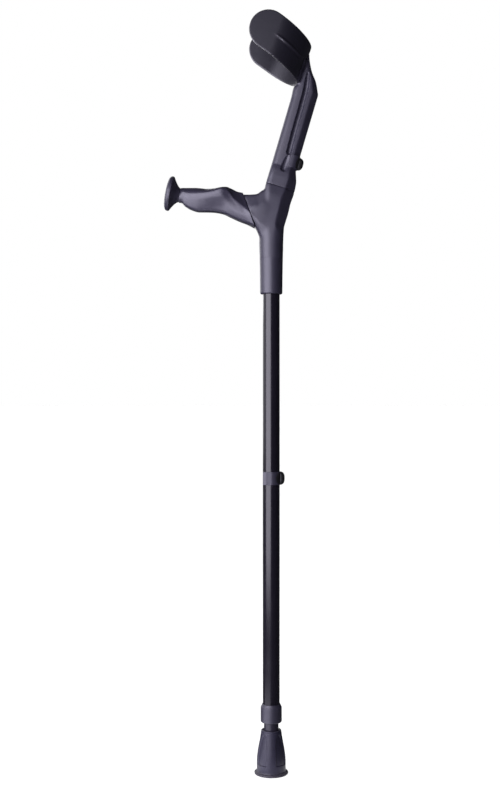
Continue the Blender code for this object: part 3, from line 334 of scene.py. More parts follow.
def eased(rows, spacing):
    """Rows of numbers joined by a monotone cubic, resampled about every spacing along their middles."""
    middles = [Vector(((r[0] + r[2]) / 2, (r[1] + r[3]) / 2)) for r in rows]
    at = [0.0]
    for a, b in zip(middles, middles[1:]):
        at.append(at[-1] + max((b - a).length, 1e-5))

    def slopes(values):
        steps = [(b - a) / (t - s) for a, b, s, t in zip(values, values[1:], at, at[1:])]
        out = [steps[0]]
        for i, (left, right) in enumerate(zip(steps, steps[1:])):
            if left * right <= 0:
                out.append(0.0)
                continue
            before, after = at[i + 1] - at[i], at[i + 2] - at[i + 1]
            w1, w2 = 2 * after + before, after + 2 * before
            out.append((w1 + w2) / (w1 / left + w2 / right))
        return out + [steps[-1]]

    columns = list(zip(*rows))
    tangents = [slopes(c) for c in columns]
    out = [rows[0]]
    for k in range(len(rows) - 1):
        span = at[k + 1] - at[k]
        count = max(1, round(span / spacing))
        for n in range(1, count + 1):
            t = n / count
            h00, h10 = 2 * t**3 - 3 * t**2 + 1, t**3 - 2 * t**2 + t
            h01, h11 = -2 * t**3 + 3 * t**2, t**3 - t**2
            out.append(tuple(
                h00 * c[k] + h10 * span * m[k] + h01 * c[k + 1] + h11 * span * m[k + 1]
                for c, m in zip(columns, tangents)
            ))
    return out


def grip_ring(row, half_points):
    """Closed ring across Y; its sides run through corners, each a share of the height and a half width."""
    low, high = Vector(row[:2]), Vector(row[2:4])
    foot, top = row[4:6]
    height = (high - low).length
    corners = [(share * height, half) for share, half in zip(row[6::2], row[7::2])]
    outline = [Vector(p) for p in [(0.0, 0.0), (0.0, foot), *corners, (height, top), (height, 0.0)]]
    steps = half_points // (len(outline) - 2)
    side = []
    for corner in zip(outline, outline[1:], outline[2:]):
        for p in soft_corner(*corner, 0.0034, 0.42, steps):
            place = low + (high - low) * (p.x / height)
            side.append((place.x, p.y, place.y))
    return side + [(x, -y, z) for x, y, z in reversed(side)]


def loft(name, rows, spacing=0.0012, half_points=44, shape=ring):
    """Closed skin over rings whose rows of numbers are eased from one to the next."""
    bm = bmesh.new()
    loops = [[bm.verts.new(p) for p in shape(row, half_points)] for row in eased(rows, spacing)]
    for near, far in zip(loops, loops[1:]):
        join_loops(bm, near, far)
    bm.faces.new(loops[0])
    bm.faces.new(loops[-1])
    return mesh_from(bm, name)


def rod(name, path, radius, swell):
    """Round rod along a path; swell gives the share of the radius at each point."""
    curve = bpy.data.curves.new(name, "CURVE")
    curve.dimensions = "3D"
    curve.bevel_depth = radius
    curve.bevel_resolution = 6
    curve.use_fill_caps = True
    spline = curve.splines.new("NURBS")
    spline.points.add(len(path) - 1)
    for point, place, share in zip(spline.points, path, swell):
        point.co = (*place, 1)
        point.radius = share
    spline.use_endpoint_u = True
    spline.order_u = 3
    spline.resolution_u = 6
    mesh = settled(bpy.data.objects.new(name, curve))
    bpy.data.curves.remove(curve)
    bm = bmesh.new()
    bm.from_mesh(mesh)
    bpy.data.meshes.remove(mesh)
    bmesh.ops.remove_doubles(bm, verts=bm.verts, dist=0.00001)
    return mesh_from(bm, name)


def settled(obj):
    """The mesh of a new object with its modifiers applied; the object is removed."""
    bpy.context.scene.collection.objects.link(obj)
    bpy.context.view_layer.update()
    graph = bpy.context.evaluated_depsgraph_get()
    mesh = bpy.data.meshes.new_from_object(obj.evaluated_get(graph))
    bpy.data.objects.remove(obj, do_unlink=True)
    return mesh


def shaped(mesh, modifiers, groups=None):
    """The mesh after a list of (type, settings) modifiers; groups maps a vertex group to weights."""
    obj = bpy.data.objects.new(mesh.name, mesh)
    for name, weights in (groups or {}).items():
        group = obj.vertex_groups.new(name=name)
        for index, weight in enumerate(weights):
            if weight > 0:
                group.add([index], weight, "REPLACE")
    for kind, values in modifiers:
        modifier = obj.modifiers.new(kind.lower(), kind)
        for key, value in values.items():
            setattr(modifier, key, value)
    result = settled(obj)
    result.name = mesh.name
    bpy.data.meshes.remove(mesh)
    return result


def cut(mesh, cutters, operation="DIFFERENCE"):
    for cutter in cutters:
        tool = linked("tool", cutter)
        mesh = shaped(mesh, [("BOOLEAN", {"object": tool, "operation": operation, "solver": "EXACT"})])
        bpy.data.objects.remove(tool, do_unlink=True)
        bpy.data.meshes.remove(cutter)
    return mesh


def bevel(width, segments, over):
    """Modifier that rounds the edges that are sharper than an angle in degrees."""
    limit = {"limit_method": "ANGLE", "angle_limit": math.radians(over)}
    return "BEVEL", {"width": width, "segments": segments, **limit}


def fused(name, solids, voxel, rounds, seam=0.0, seam_rounds=0, share=1.0):
    """One smooth skin over closed solids, thinned to a share of its faces.

    Where two solids meet, a soft fillet reaches about seam away from the line.
    """
    trees = []
    joined = bmesh.new()
    for solid in solids:
        bm = bmesh.new()
        bm.from_mesh(solid)
        trees.append(BVHTree.FromBMesh(bm))
        bm.free()
        joined.from_mesh(solid)
        bpy.data.meshes.remove(solid)
    mesh = mesh_from(joined, name, outward=False)
    mesh = shaped(mesh, [("REMESH", {"mode": "VOXEL", "voxel_size": voxel})])
    steps = [("SMOOTH", {"factor": 0.5, "iterations": rounds})]
    groups = None
    if seam:
        groups = {"seam": []}
        for vertex in mesh.vertices:
            away = sorted(tree.find_nearest(vertex.co)[3] for tree in trees)[1]
            groups["seam"].append(max(0.0, min(1.0, 1.6 * (1 - away / seam))))
        steps.insert(0, ("SMOOTH", {"factor": 0.5, "iterations": seam_rounds, "vertex_group": "seam"}))
    if share < 1:
        steps.append(("DECIMATE", {"ratio": share}))
    return shaped(mesh, steps, groups)


def piece(name, mesh, body, nodes, material, place=None, angle=35.0):
    """Shown object made from a mesh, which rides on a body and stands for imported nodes."""
    if place is not None:
        mesh.transform(place)
    mesh.name = name
    mesh.shade_smooth()
    mesh.set_sharp_from_angle(angle=math.radians(angle))
    obj = linked(name, mesh)
    mesh.materials.clear()
    mesh.materials.append(material)
    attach(obj, body)
    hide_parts(*nodes)
    return obj


# Finishes

VIOLET_TINT = (0.88, 0.86, 1.0, 1.0)


def feed(tree, made, inputs):
    """Set the inputs of a node to plain values, or link them to the sockets that give them."""
    for key, value in inputs.items():
        if isinstance(value, bpy.types.NodeSocket):
            tree.links.new(value, made.inputs[key])
        else:
            made.inputs[key].default_value = value


def new_group(name, outputs, **inputs):
    """Node group, what it is given and its result; an input is a vector where its default is one."""
    group = bpy.data.node_groups.new(name, "ShaderNodeTree")
    for label, default in inputs.items():
        kind = "NodeSocketVector" if isinstance(default, tuple) else "NodeSocketFloat"
        socket = group.interface.new_socket(label, in_out="INPUT", socket_type=kind)
        socket.default_value = default
    for label in outputs:
        group.interface.new_socket(label, in_out="OUTPUT", socket_type="NodeSocketFloat")
    return group, group.nodes.new("NodeGroupInput").outputs, group.nodes.new("NodeGroupOutput")


def node(tree, kind, inputs=None, **settings):
    made = tree.nodes.new(kind)
    for key, value in settings.items():
        setattr(made, key, value)
    feed(tree, made, inputs or {})
    return made


def math_node(tree, operation, first, second=0.0, third=None, clamp=False):
    """Result of a sum on plain values or sockets."""
    inputs = {i: value for i, value in enumerate((first, second, third)) if value is not None}
    return node(tree, "ShaderNodeMath", inputs, operation=operation, use_clamp=clamp).outputs[0]


def ranged(tree, value, low, high, new_low, new_high, **settings):
    """Value moved from one range to another, and held within it."""
    inputs = dict(enumerate((value, low, high, new_low, new_high)))
    return node(tree, "ShaderNodeMapRange", inputs, **settings).outputs[0]


def object_place(tree):
    return node(tree, "ShaderNodeTexCoord").outputs["Object"]


def stretched_place(tree, stretch):
    inputs = {0: object_place(tree), 1: stretch}
    return node(tree, "ShaderNodeVectorMath", inputs, operation="MULTIPLY").outputs[0]


def from_origin(tree):
    """Distance from the object's origin."""
    inputs = {0: object_place(tree)}
    return node(tree, "ShaderNodeVectorMath", inputs, operation="LENGTH").outputs["Value"]


def noise(tree, place, scale, **more):
    return node(tree, "ShaderNodeTexNoise", {"Vector": place, "Scale": scale, **more}).outputs[0]


def bumped(tree, height, strength, distance):
    inputs = {"Height": height, "Strength": strength, "Distance": distance}
    return node(tree, "ShaderNodeBump", inputs).outputs[0]


def grain_group():
    """Spark-eroded mould grain: fine pits with a slow drift of tone."""
    found = bpy.data.node_groups.get("mould_grain")
    if found:
        return found
    group, given, result = new_group("mould_grain", ("Height", "Tone", "Gloss"), Size=0.0006, Pits=0.5)
    place = object_place(group)
    frequency = math_node(group, "DIVIDE", 1.0, given["Size"])
    fine = noise(group, place, frequency, Detail=3.0, Roughness=0.62)
    pit_inputs = {"Vector": place, "Scale": math_node(group, "MULTIPLY", frequency, 0.6)}
    pits = node(group, "ShaderNodeTexVoronoi", pit_inputs, feature="SMOOTH_F1")
    pit_height = math_node(group, "MULTIPLY", pits.outputs["Distance"], given["Pits"])
    feed(group, result, {
        "Height": math_node(group, "ADD", fine, pit_height),
        "Tone": ranged(group, noise(group, place, 34.0, Detail=4.0), 0.3, 0.7, 0.90, 1.12),
        "Gloss": ranged(group, fine, 0.25, 0.75, -0.05, 0.05),
    })
    return group


def rub_group():
    """Handling marks: short fine scuffs in all directions, sparse and patchy."""
    found = bpy.data.node_groups.get("handling_scuffs")
    if found:
        return found
    group, given, result = new_group("handling_scuffs", ("Mask",), Amount=0.5, Stretch=(1.0, 1.0, 0.12))
    lines = noise(group, stretched_place(group, given["Stretch"]), 950.0, Detail=2.0)
    sharp = ranged(group, lines, 0.66, 0.76, 0.0, 1.0)
    patchy = ranged(group, noise(group, object_place(group), 46.0), 0.45, 0.70, 0.0, 1.0)
    both = math_node(group, "MULTIPLY", sharp, patchy)
    feed(group, result, {"Mask": math_node(group, "MULTIPLY", both, given["Amount"], clamp=True)})
    return group


def parting_group():
    """Thin raised line where the two halves of a mould met, on the plane Y = 0."""
    found = bpy.data.node_groups.get("parting_line")
    if found:
        return found
    group, given, result = new_group("parting_line", ("Height",), Width=0.00018)
    split = node(group, "ShaderNodeSeparateXYZ", {0: object_place(group)})
    off = math_node(group, "ABSOLUTE", split.outputs["Y"])
    share = math_node(group, "DIVIDE", off, given["Width"])
    feed(group, result, {"Height": math_node(group, "SUBTRACT", 1.0, share, clamp=True)})
    return group


def dust_group():
    """Pale dust that settles on upward faces and low down near the floor."""
    found = bpy.data.node_groups.get("settled_dust")
    if found:
        return found
    group, given, result = new_group("settled_dust", ("Mask",), Top=0.2, Low=0.0, Reach=0.01)
    place = object_place(group)
    normal = node(group, "ShaderNodeNewGeometry").outputs["Normal"]
    facing = node(group, "ShaderNodeSeparateXYZ", {0: normal}).outputs["Z"]
    height = node(group, "ShaderNodeSeparateXYZ", {0: place}).outputs["Z"]
    upward = ranged(group, facing, 0.35, 1.0, 0.0, 1.0)
    speckled = ranged(group, noise(group, place, 420.0, Detail=5.0), 0.42, 0.70, 0.15, 1.0)
    low = math_node(group, "DIVIDE", height, given["Reach"])
    low = math_node(group, "SUBTRACT", 1.0, low, clamp=True)
    on_top = math_node(group, "MULTIPLY", upward, given["Top"])
    total = math_node(group, "ADD", on_top, math_node(group, "MULTIPLY", low, given["Low"]))
    feed(group, result, {"Mask": math_node(group, "MULTIPLY", total, speckled, clamp=True)})
    return group


def placed_group(tree, group, **values):
    return node(tree, "ShaderNodeGroup", values, node_tree=group).outputs


def finish_named(name):
    """Material with its node tree and shader, both None where the material is there already."""
    found = bpy.data.materials.get(name)
    if found:
        return found, None, None
    material = bpy.data.materials.new(name)
    material.use_nodes = True
    tree = material.node_tree
    return material, tree, tree.nodes["Principled BSDF"]


def toned(tree, colour, tone, pale=None, mask=None):
    """Colour multiplied by a tone, and mixed towards a pale colour by a mask."""
    grey = node(tree, "ShaderNodeCombineColor", {0: tone, 1: tone, 2: tone}).outputs[0]
    inputs = {0: 1.0, 6: (*colour, 1.0), 7: grey}
    shade = node(tree, "ShaderNodeMix", inputs, data_type="RGBA", blend_type="MULTIPLY").outputs[2]
    if mask is None:
        return shade
    return node(tree, "ShaderNodeMix", {0: mask, 6: shade, 7: (*pale, 1.0)}, data_type="RGBA").outputs[2]


def moulding(name, colour, roughness, grain_size=0.00055, depth=0.00004, line=True, scuffs=0.4, ior=1.66):
    """Anthracite moulding: eroded grain, parting line, faint scuffs and settled dust."""
    material, tree, shader = finish_named(name)
    if tree is None:
        return material
    grain = placed_group(tree, grain_group(), Size=grain_size, Pits=0.5)
    rub = placed_group(tree, rub_group(), Amount=scuffs, Stretch=(1.0, 1.0, 0.2))[0]
    dust = placed_group(tree, dust_group(), Top=0.05, Low=0.0, Reach=0.01)[0]
    rubbed = math_node(tree, "MULTIPLY", rub, 0.10)
    mask = math_node(tree, "ADD", rubbed, dust, clamp=True)
    rough = math_node(tree, "ADD", grain["Gloss"], roughness)
    height = grain["Height"]
    if line:
        ridge = placed_group(tree, parting_group(), Width=0.00022)[0]
        height = math_node(tree, "ADD", height, math_node(tree, "MULTIPLY", ridge, 2.4))
    feed(tree, shader, {
        "Base Color": toned(tree, colour, grain["Tone"], (0.32, 0.31, 0.34), mask),
        "Roughness": math_node(tree, "SUBTRACT", rough, rubbed, clamp=True),
        "Normal": bumped(tree, height, 0.35, depth),
        "IOR": ior,
        "Specular Tint": VIOLET_TINT,
    })
    return material


def anthracite():
    finish = bpy.context.scene.crutch_finish
    return moulding("anthracite_moulding", tuple(finish.plastic), finish.plastic_roughness)


def cuff_moulding():
    """Darker and glossier moulding of the cuff."""
    finish = bpy.context.scene.crutch_finish
    colour = tuple(channel * 0.30 for channel in finish.plastic)
    roughness = finish.plastic_roughness - 0.11
    return moulding("cuff_moulding", colour, roughness, line=False, scuffs=0.1, ior=1.78)


def knob_black():
    """Neutral black of the thumb knobs."""
    return moulding("knob_black", (0.010, 0.010, 0.0105), 0.40, line=False, scuffs=0.6)


def grip_moulding():
    """Slightly softer moulding of the grip, with a coarser grain."""
    finish = bpy.context.scene.crutch_finish
    roughness = finish.plastic_roughness - 0.10
    return moulding(
        "grip_moulding", tuple(finish.grip), roughness, grain_size=0.0008, depth=0.00006, scuffs=0.2
    )


def foot_rubber():
    """Rubber with a soft bloom, moulding grain, and floor dust on its flange."""
    material, tree, shader = finish_named("foot_rubber")
    if tree is None:
        return material
    colour = tuple(bpy.context.scene.crutch_finish.rubber)
    grain = placed_group(tree, grain_group(), Size=0.0007, Pits=0.8)
    dust = placed_group(tree, dust_group(), Top=0.10, Low=0.35, Reach=0.006)[0]
    rough = math_node(tree, "ADD", grain["Gloss"], 0.48)
    feed(tree, shader, {
        "Base Color": toned(tree, colour, grain["Tone"], (0.30, 0.28, 0.27), dust),
        "Roughness": math_node(tree, "ADD", rough, dust, clamp=True),
        "Normal": bumped(tree, grain["Height"], 0.4, 0.00006),
        "IOR": 1.46,
        "Specular Tint": VIOLET_TINT,
    })
    return material


def gloss_coating(name="gloss_black_coating", lift=1.0, duller=0.0):
    """Gloss black coating on drawn tube: slight orange peel and fine lengthwise marks."""
    material, tree, shader = finish_named(name)
    if tree is None:
        return material
    finish = bpy.context.scene.crutch_finish
    colour, roughness = tuple(c * lift for c in finish.coating), finish.coating_roughness + duller
    rub = placed_group(tree, rub_group(), Amount=0.8, Stretch=(1.0, 1.0, 0.04))[0]
    dust = placed_group(tree, dust_group(), Top=0.08, Low=0.0, Reach=0.01)[0]
    mask = math_node(tree, "ADD", math_node(tree, "MULTIPLY", rub, 0.05), dust, clamp=True)
    place = object_place(tree)
    slow = noise(tree, place, 16.0)
    tone = ranged(tree, slow, 0.3, 0.7, 0.85, 1.15)
    rough = ranged(tree, slow, 0.3, 0.7, roughness - 0.04, roughness + 0.04)
    feed(tree, shader, {
        "Base Color": toned(tree, colour, tone, (0.22, 0.22, 0.24), mask),
        "Roughness": math_node(tree, "MULTIPLY_ADD", rub, 0.25, rough, clamp=True),
        "Normal": bumped(tree, noise(tree, place, 700.0, Detail=2.0), 0.10, 0.00003),
        "IOR": 1.50,
        "Specular Tint": (0.93, 0.91, 1.0, 1.0),
    })
    return material


def metal(name, colour, roughness, stretch, depth):
    """Bare metal with fine lines along its drawn or turned direction and a slight drift of tone."""
    material, tree, shader = finish_named(name)
    if tree is None:
        return material
    lines = noise(tree, stretched_place(tree, stretch), 900.0, Detail=3.0)
    tone = ranged(tree, noise(tree, object_place(tree), 120.0), 0.3, 0.7, 0.84, 1.06)
    feed(tree, shader, {
        "Base Color": toned(tree, colour, tone),
        "Roughness": ranged(tree, lines, 0.3, 0.7, roughness - 0.08, roughness + 0.10),
        "Metallic": 1.0,
        "Normal": bumped(tree, lines, 0.25, depth),
    })
    return material


def bare_aluminium():
    return metal("extruded_aluminium", (0.60, 0.61, 0.63), 0.36, (1.0, 1.0, 0.05), 0.00002)


def zinc_steel():
    return metal("zinc_plated_steel", (0.50, 0.51, 0.53), 0.32, (1.0, 1.0, 1.0), 0.00001)


# Pieces


def build_tubes():
    """Both leg tubes, with the row of stop holes in the lower one."""
    def tube(name, outer, node_name, holes, body, finish):
        low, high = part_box(node_name)
        inner, edge = outer - TUBE_WALL, 0.0003
        profile = [
            (inner + edge, high.z), (outer - edge, high.z), (outer, high.z - edge), (outer, low.z + edge),
            (outer - edge, low.z), (inner + edge, low.z), (inner, low.z + edge), (inner, high.z - edge),
        ]
        cutters = [bar("hole", radius, (outer * 0.4, 0, z), (outer * 2, 0, z)) for z, radius in holes]
        mesh = cut(lathe(name, profile, steps=128), cutters)
        piece(name, mesh, body, [node_name], finish)

    pin_hole = 0.0029
    holes = [(LEG_CLIP_HEIGHT + i * LEG_PITCH, pin_hole) for i in range(LEG_STOPS)]
    satin = gloss_coating("satin_black_coating", lift=2.6, duller=0.14)
    tube("lower_tube", INNER_RADIUS, "inner_tube", holes, "leg", satin)
    holes = [(LEG_CLIP_HEIGHT, pin_hole), (size("bend_height") - TUBE_SCREW_DROP, WIDE_PILOT_RADIUS)]
    tube("upper_tube", TUBE_RADIUS, "outer_tube", holes, "handle", gloss_coating())


def build_collar():
    """Collar at the foot of the upper tube, with a chamfered mouth and a fine seam line."""
    low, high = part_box("outer_tube_collar")
    lip, bore, radius = INNER_RADIUS + GAP, SLEEVE_BORE, (high.y - low.y) / 2
    outer = [
        (bore, high.z), (bore + 0.0005, high.z), (radius - 0.0006, high.z - 0.0031),
        (radius, high.z - 0.0039), (radius, low.z + 0.0014), (radius - 0.0014, low.z),
        (lip + 0.0003, low.z), (lip, low.z + 0.0003), (lip, low.z + 0.0027), (bore, low.z + 0.0027),
    ]
    mesh = lathe("collar", rounded(outer, 0.0005), steps=144)
    piece("collar", mesh, "handle", ["outer_tube_collar"], anthracite())


def build_foot():
    """Rubber foot: flange, band, bell with four soft-edged petals, thin top rim and a ribbed tread."""
    low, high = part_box("ferrule")
    flange_radius, height = (high.x - low.x) / 2, high.z
    band, band_top, neck, petal_top = 0.0189, 0.0130, 0.0136, 0.0525
    bore, floor, rim, edge = INNER_RADIUS + GAP, 0.0080, neck - 0.0004, 0.0006
    petal_half, petal_depth, side_edge, foot_edge = 0.0083, 0.0012, 0.0011, 0.0009
    rise = petal_top - band_top

    def bell(share):
        return band + (neck - band) * share**2.3 * (2.3 - 1.3 * share), band_top + rise * share

    upper = [
        (0.0, floor), (bore, floor), (bore, height - edge), (bore + edge, height), (rim - edge, height),
        (rim, height - edge), (rim, petal_top + 0.0017), (neck, petal_top + 0.0012),
    ]
    bell_line = [bell(1 - i / 46) for i in range(47)]
    band_line = [(band, band_top - i * 0.0012) for i in range(1, 8)]
    flange = [
        (band, 0.0038), (band + 0.0008, 0.0030), (flange_radius - 0.0008, 0.0030),
        (flange_radius, 0.0022), (flange_radius, 0.0008), (flange_radius - 0.0008, 0.0),
    ]
    tread = []
    for middle in (0.0198, 0.0168, 0.0137, 0.0106, 0.0075, 0.0044):
        tread += [(middle + 0.0009, 0.0), (middle + 0.0006, 0.0011)]
        tread += [(middle - 0.0006, 0.0011), (middle - 0.0009, 0.0)]
    profile = rounded(upper, 0.0004, 3) + bell_line + band_line
    profile += rounded(flange, 0.0005, 4)[1:] + tread + [(0.0, 0.0)]

    def petals(x, y, z):
        share = (z - band_top) / rise
        radius = math.hypot(x, y)
        if not -0.02 < share < 1.02 or radius < bore + 0.001:
            return x, y, z
        half_width = petal_half * max(0.0, 1 - max(0.0, share) ** 2.6) ** 0.5
        angle = math.atan2(y, x)
        nearest = (round(angle / (math.pi / 2) - 0.5) + 0.5) * math.pi / 2
        aside = abs(radius * math.sin(angle - nearest))
        inside = (half_width - aside) / side_edge
        foot = (z - band_top) / foot_edge
        depth = petal_depth * smooth_step(inside) * smooth_step(foot)
        return x * (1 - depth / radius), y * (1 - depth / radius), z

    mesh = lathe("rubber_foot", profile, steps=288, warp=petals)
    piece("rubber_foot", mesh, "leg", ["ferrule"], foot_rubber(), angle=50)


def smooth_step(t):
    t = max(0.0, min(1.0, t))
    return t * t * (3 - 2 * t)


def clip_outline(half_width, back, corner, reach, wall):
    """U in the XY plane, open to -X, round a back of the given corner."""
    middle_x, middle_y = back - corner, half_width - corner

    def corner_arcs(radius):
        upper = arc((middle_x, middle_y), radius, 90, 0, 20)
        return upper, arc((middle_x, -middle_y), radius, 0, -90, 20)

    inner_upper, inner_lower = corner_arcs(corner)
    outer_upper, outer_lower = corner_arcs(corner + wall)
    end = arc((back - reach, -half_width - wall / 2), wall / 2, 90, 270, 10)
    outer = outer_lower[::-1] + outer_upper[::-1]
    return inner_upper + inner_lower + end + outer + [(x, -y) for x, y in reversed(end)]


def ring_outline(radius, wall):
    """Band round a tube in the XY plane, open to -X.

    Each arm runs straight for the length of the play, so that the band can be pulled back a little, and
    then closes in with a thinning wall.
    """
    turn, tip, play, step = 30, 0.0004, 0.0052, 0.0002
    side = []
    for i in range(9):
        share = i / 8
        side.append((-play * share, radius, 0.0, wall + (tip + step - wall) * share))
    for i in range(1, 11):
        angle = math.radians(turn * i / 10)
        x, y = -play - radius * math.sin(angle), radius * math.cos(angle)
        side.append((x, y, angle, tip + step * (1 - i / 10)))
    inner = [(x, y) for x, y, angle, thick in side]
    outer = [(x - thick * math.sin(angle), y + thick * math.cos(angle)) for x, y, angle, thick in side]
    back_inner = arc((0, 0), radius, 90, -90, 40)[1:-1]
    back_outer = arc((0, 0), radius + wall, -90, 90, 40)[1:-1]
    mirrored_inner, mirrored_outer = ([(x, -y) for x, y in line] for line in (inner, outer))
    return inner[::-1] + back_inner + mirrored_inner + mirrored_outer[::-1] + back_outer + outer


def knob_rows(start, length, height, width):
    """Thumb knob along X, by shares of its length, and of its height and width there."""
    stages = (
        (0.0, 1.0), (0.2, 0.985), (0.4, 0.94), (0.6, 0.86), (0.78, 0.72), (0.9, 0.55), (0.97, 0.36),
        (1.0, 0.18),
    )
    rows = []
    for along, share in stages:
        x, tall, wide = start + length * along, height * share / 2, width * share / 2
        rows.append(section((x, -tall), (x, tall), wide, min(tall, wide) * 0.8))
    return rows


def pin_mesh(name, radius, start, end):
    """Stop pin along X with a chamfered tip."""
    edge = radius * 0.4
    profile = [(0.0, end - start), (radius, end - start), (radius, edge), (radius - edge, 0.0), (0.0, 0.0)]
    mesh = lathe(name, rounded(profile, 0.0006, 5), steps=48)
    mesh.transform(turned((start, 0, 0), math.pi / 2))
    return mesh


def blacken_knob(obj, place, start, reach):
    """Neutral black on the rounded end of a clip: all of it behind start, and an oval before that."""
    obj.data.materials.append(knob_black())
    back, half_height = place.inverted(), 0.0080
    for face in obj.data.polygons:
        at = back @ face.center
        if at.x > start or ((at.x - start) / reach) ** 2 + (at.z / half_height) ** 2 < 1:
            face.material_index = 1


def build_clip(name, place, outline, back, wall, band, knob, oval, pin, pin_start, pin_end):
    """Sprung clip with a thumb knob of the given length, height and width, and its stop pin."""
    solids = [
        prism(f"{name}_clip_band", outline, -band / 2, band / 2),
        loft(f"{name}_clip_band", knob_rows(back + wall / 2, *knob), spacing=0.0004, half_points=24),
    ]
    mesh = fused(
        f"{name}_clip_band", solids, voxel=0.00026, rounds=3, seam=0.0012, seam_rounds=24, share=0.42
    )
    mesh = cut(mesh, [bar("pin_hole", pin + GAP, (back - 0.002, 0, 0), (pin_end + 0.0003, 0, 0))])
    clip = piece(f"{name}_clip_band", mesh, f"{name}_lock", [f"{name}_clip"], anthracite(), place)
    blacken_knob(clip, place, back + wall + 0.0003, oval)
    mesh = pin_mesh(f"{name}_stop_pin", pin, pin_start, pin_end)
    piece(f"{name}_stop_pin", mesh, f"{name}_lock", [f"{name}_clip_pin"], zinc_steel(), place)


def build_clips():
    """Both sprung clips with their thumb knobs and stop pins."""
    bite = 0.0028
    back, wall = SLEEVE_BORE, 0.0013
    build_clip(
        "leg", Matrix.Translation((0, 0, LEG_CLIP_HEIGHT)), ring_outline(back, wall), back, wall,
        band=0.017, knob=(0.0056, 0.0172, 0.0140), oval=0.0070,
        pin=0.0025, pin_start=INNER_RADIUS - bite, pin_end=back + 0.0034,
    )
    back, wall = SHAFT_BEHIND + GAP, 0.0010
    outline = clip_outline(SHAFT_HALF + GAP, back, SHAFT_CORNER + GAP, 0.0109, wall)
    build_clip(
        "forearm", lean_frame(FOREARM_CLIP_ALONG), outline, back, wall,
        band=FOREARM_CLIP_BAND, knob=(0.0062, 0.0160, 0.0120), oval=0.0046,
        pin=0.0020, pin_start=STUB_DEPTH / 2 - bite, pin_end=back + 0.0040,
    )


def lean_point(ahead, along):
    """Place in XZ, seen from the bend, of a point given in the forearm piece's frame."""
    lean = size("forearm_lean")
    return (
        along * math.sin(lean) + ahead * math.cos(lean),
        along * math.cos(lean) - ahead * math.sin(lean),
    )


def column_rows():
    """Sleeve round the leg tube that bends back into the forearm piece's mouth, seen from the bend."""
    bore, foot = SLEEVE_BORE, -0.108
    walls = (
        (foot, 0.0024, 0.0024, 0.0024, 0.0, 0.0),
        (foot + 0.0006, 0.0030, 0.0030, 0.0030, 0.0, 0.0),
        (foot + 0.0018, 0.0033, 0.0033, 0.0033, 0.0, 0.0),
        (foot + 0.0140, 0.0034, 0.0034, 0.0034, 0.0, 0.0),
        (-0.0620, 0.0039, 0.0039, 0.0040, 0.0, 0.0),
        (-0.0365, 0.0045, 0.0045, 0.0046, 0.0, 0.004),
        (-0.0200, 0.0045, 0.0054, 0.0047, 0.0025, 0.0115),
        (-0.0110, 0.0043, 0.0077, 0.0046, 0.0033, 0.0128),
        (-0.0020, 0.0042, 0.0104, 0.0044, 0.0040, 0.0132),
    )
    rows = []
    for z, front, rear, side, rise, wedge in walls:
        low, high = (-bore - front, z + rise), (bore + rear, z - rise / 2)
        rows.append(section(low, high, bore + side, bore + side - rise, 0.0, wedge))
    depth, width = STUB_DEPTH / 2 + GAP, STUB_WIDTH / 2 + GAP
    for along, front, rear, side, corner, wedge in (
        (0.0180, 0.0046, 0.0100, 0.0090, 0.0090, 0.0134),
        (MOUTH_ALONG - 0.0003, 0.0057, 0.0104, 0.0065, 0.0066, 0.0126),
        (MOUTH_ALONG, 0.00565, 0.01035, 0.00645, 0.00655, 0.0126),
    ):
        low, high = lean_point(-depth - front, along), lean_point(depth + rear, along)
        rows.append(section(low, high, width + side, corner, 0.0, wedge))
    return rows


def arm_rows():
    """Core of the grip and the web that joins it to the column, seen from the bend."""
    front, bore = -size("grip_reach"), SLEEVE_BORE
    return [
        section((front + 0.0080, 0.0120), (front + 0.0080, 0.0240), 0.0052, 0.0045),
        section((-0.0600, 0.0040), (-0.0600, 0.0232), 0.0072, 0.0058),
        section((-0.0420, -0.0070), (-0.0450, 0.0222), 0.0074, 0.0060),
        section((-0.0300, -0.0130), (-0.0345, 0.0221), 0.0074, 0.0062),
        section((-bore - 0.0107, -0.0185), (-bore - 0.0120, 0.0217), 0.0088, 0.0066),
        section((-bore - 0.0060, -0.0258), (-bore - 0.0042, 0.0211), 0.0100, 0.0070),
        section((-bore + 0.0033, -0.0300), (-bore + 0.0078, 0.0220), 0.0120, 0.0090),
    ]


def shoulder_rows():
    """Web from the rear end of the grip to the column, almost as wide as both, seen from the bend."""
    end = grip_rows()[-1]
    return [
        (end[0] + GAP, end[1] + 0.0006, end[2] + GAP, end[3] - 0.0018,
         0.0096, 0.0050, 0.20, 0.0142, 0.36, 0.0157, 0.52, 0.0142),
        (-0.0178, -0.0275, -0.0300, 0.0218, 0.0072, 0.0070, 0.16, 0.0124, 0.36, 0.0156, 0.64, 0.0150),
        (-0.0130, -0.0395, -0.0200, 0.0219, 0.0056, 0.0096, 0.14, 0.0108, 0.36, 0.0158, 0.72, 0.0157),
        (-0.0080, -0.0500, -0.0095, 0.0280, 0.0050, 0.0100, 0.14, 0.0104, 0.36, 0.0159, 0.74, 0.0160),
        (-0.0020, -0.0560, -0.0010, 0.0290, 0.0046, 0.0100, 0.14, 0.0100, 0.36, 0.0155, 0.74, 0.0157),
    ]


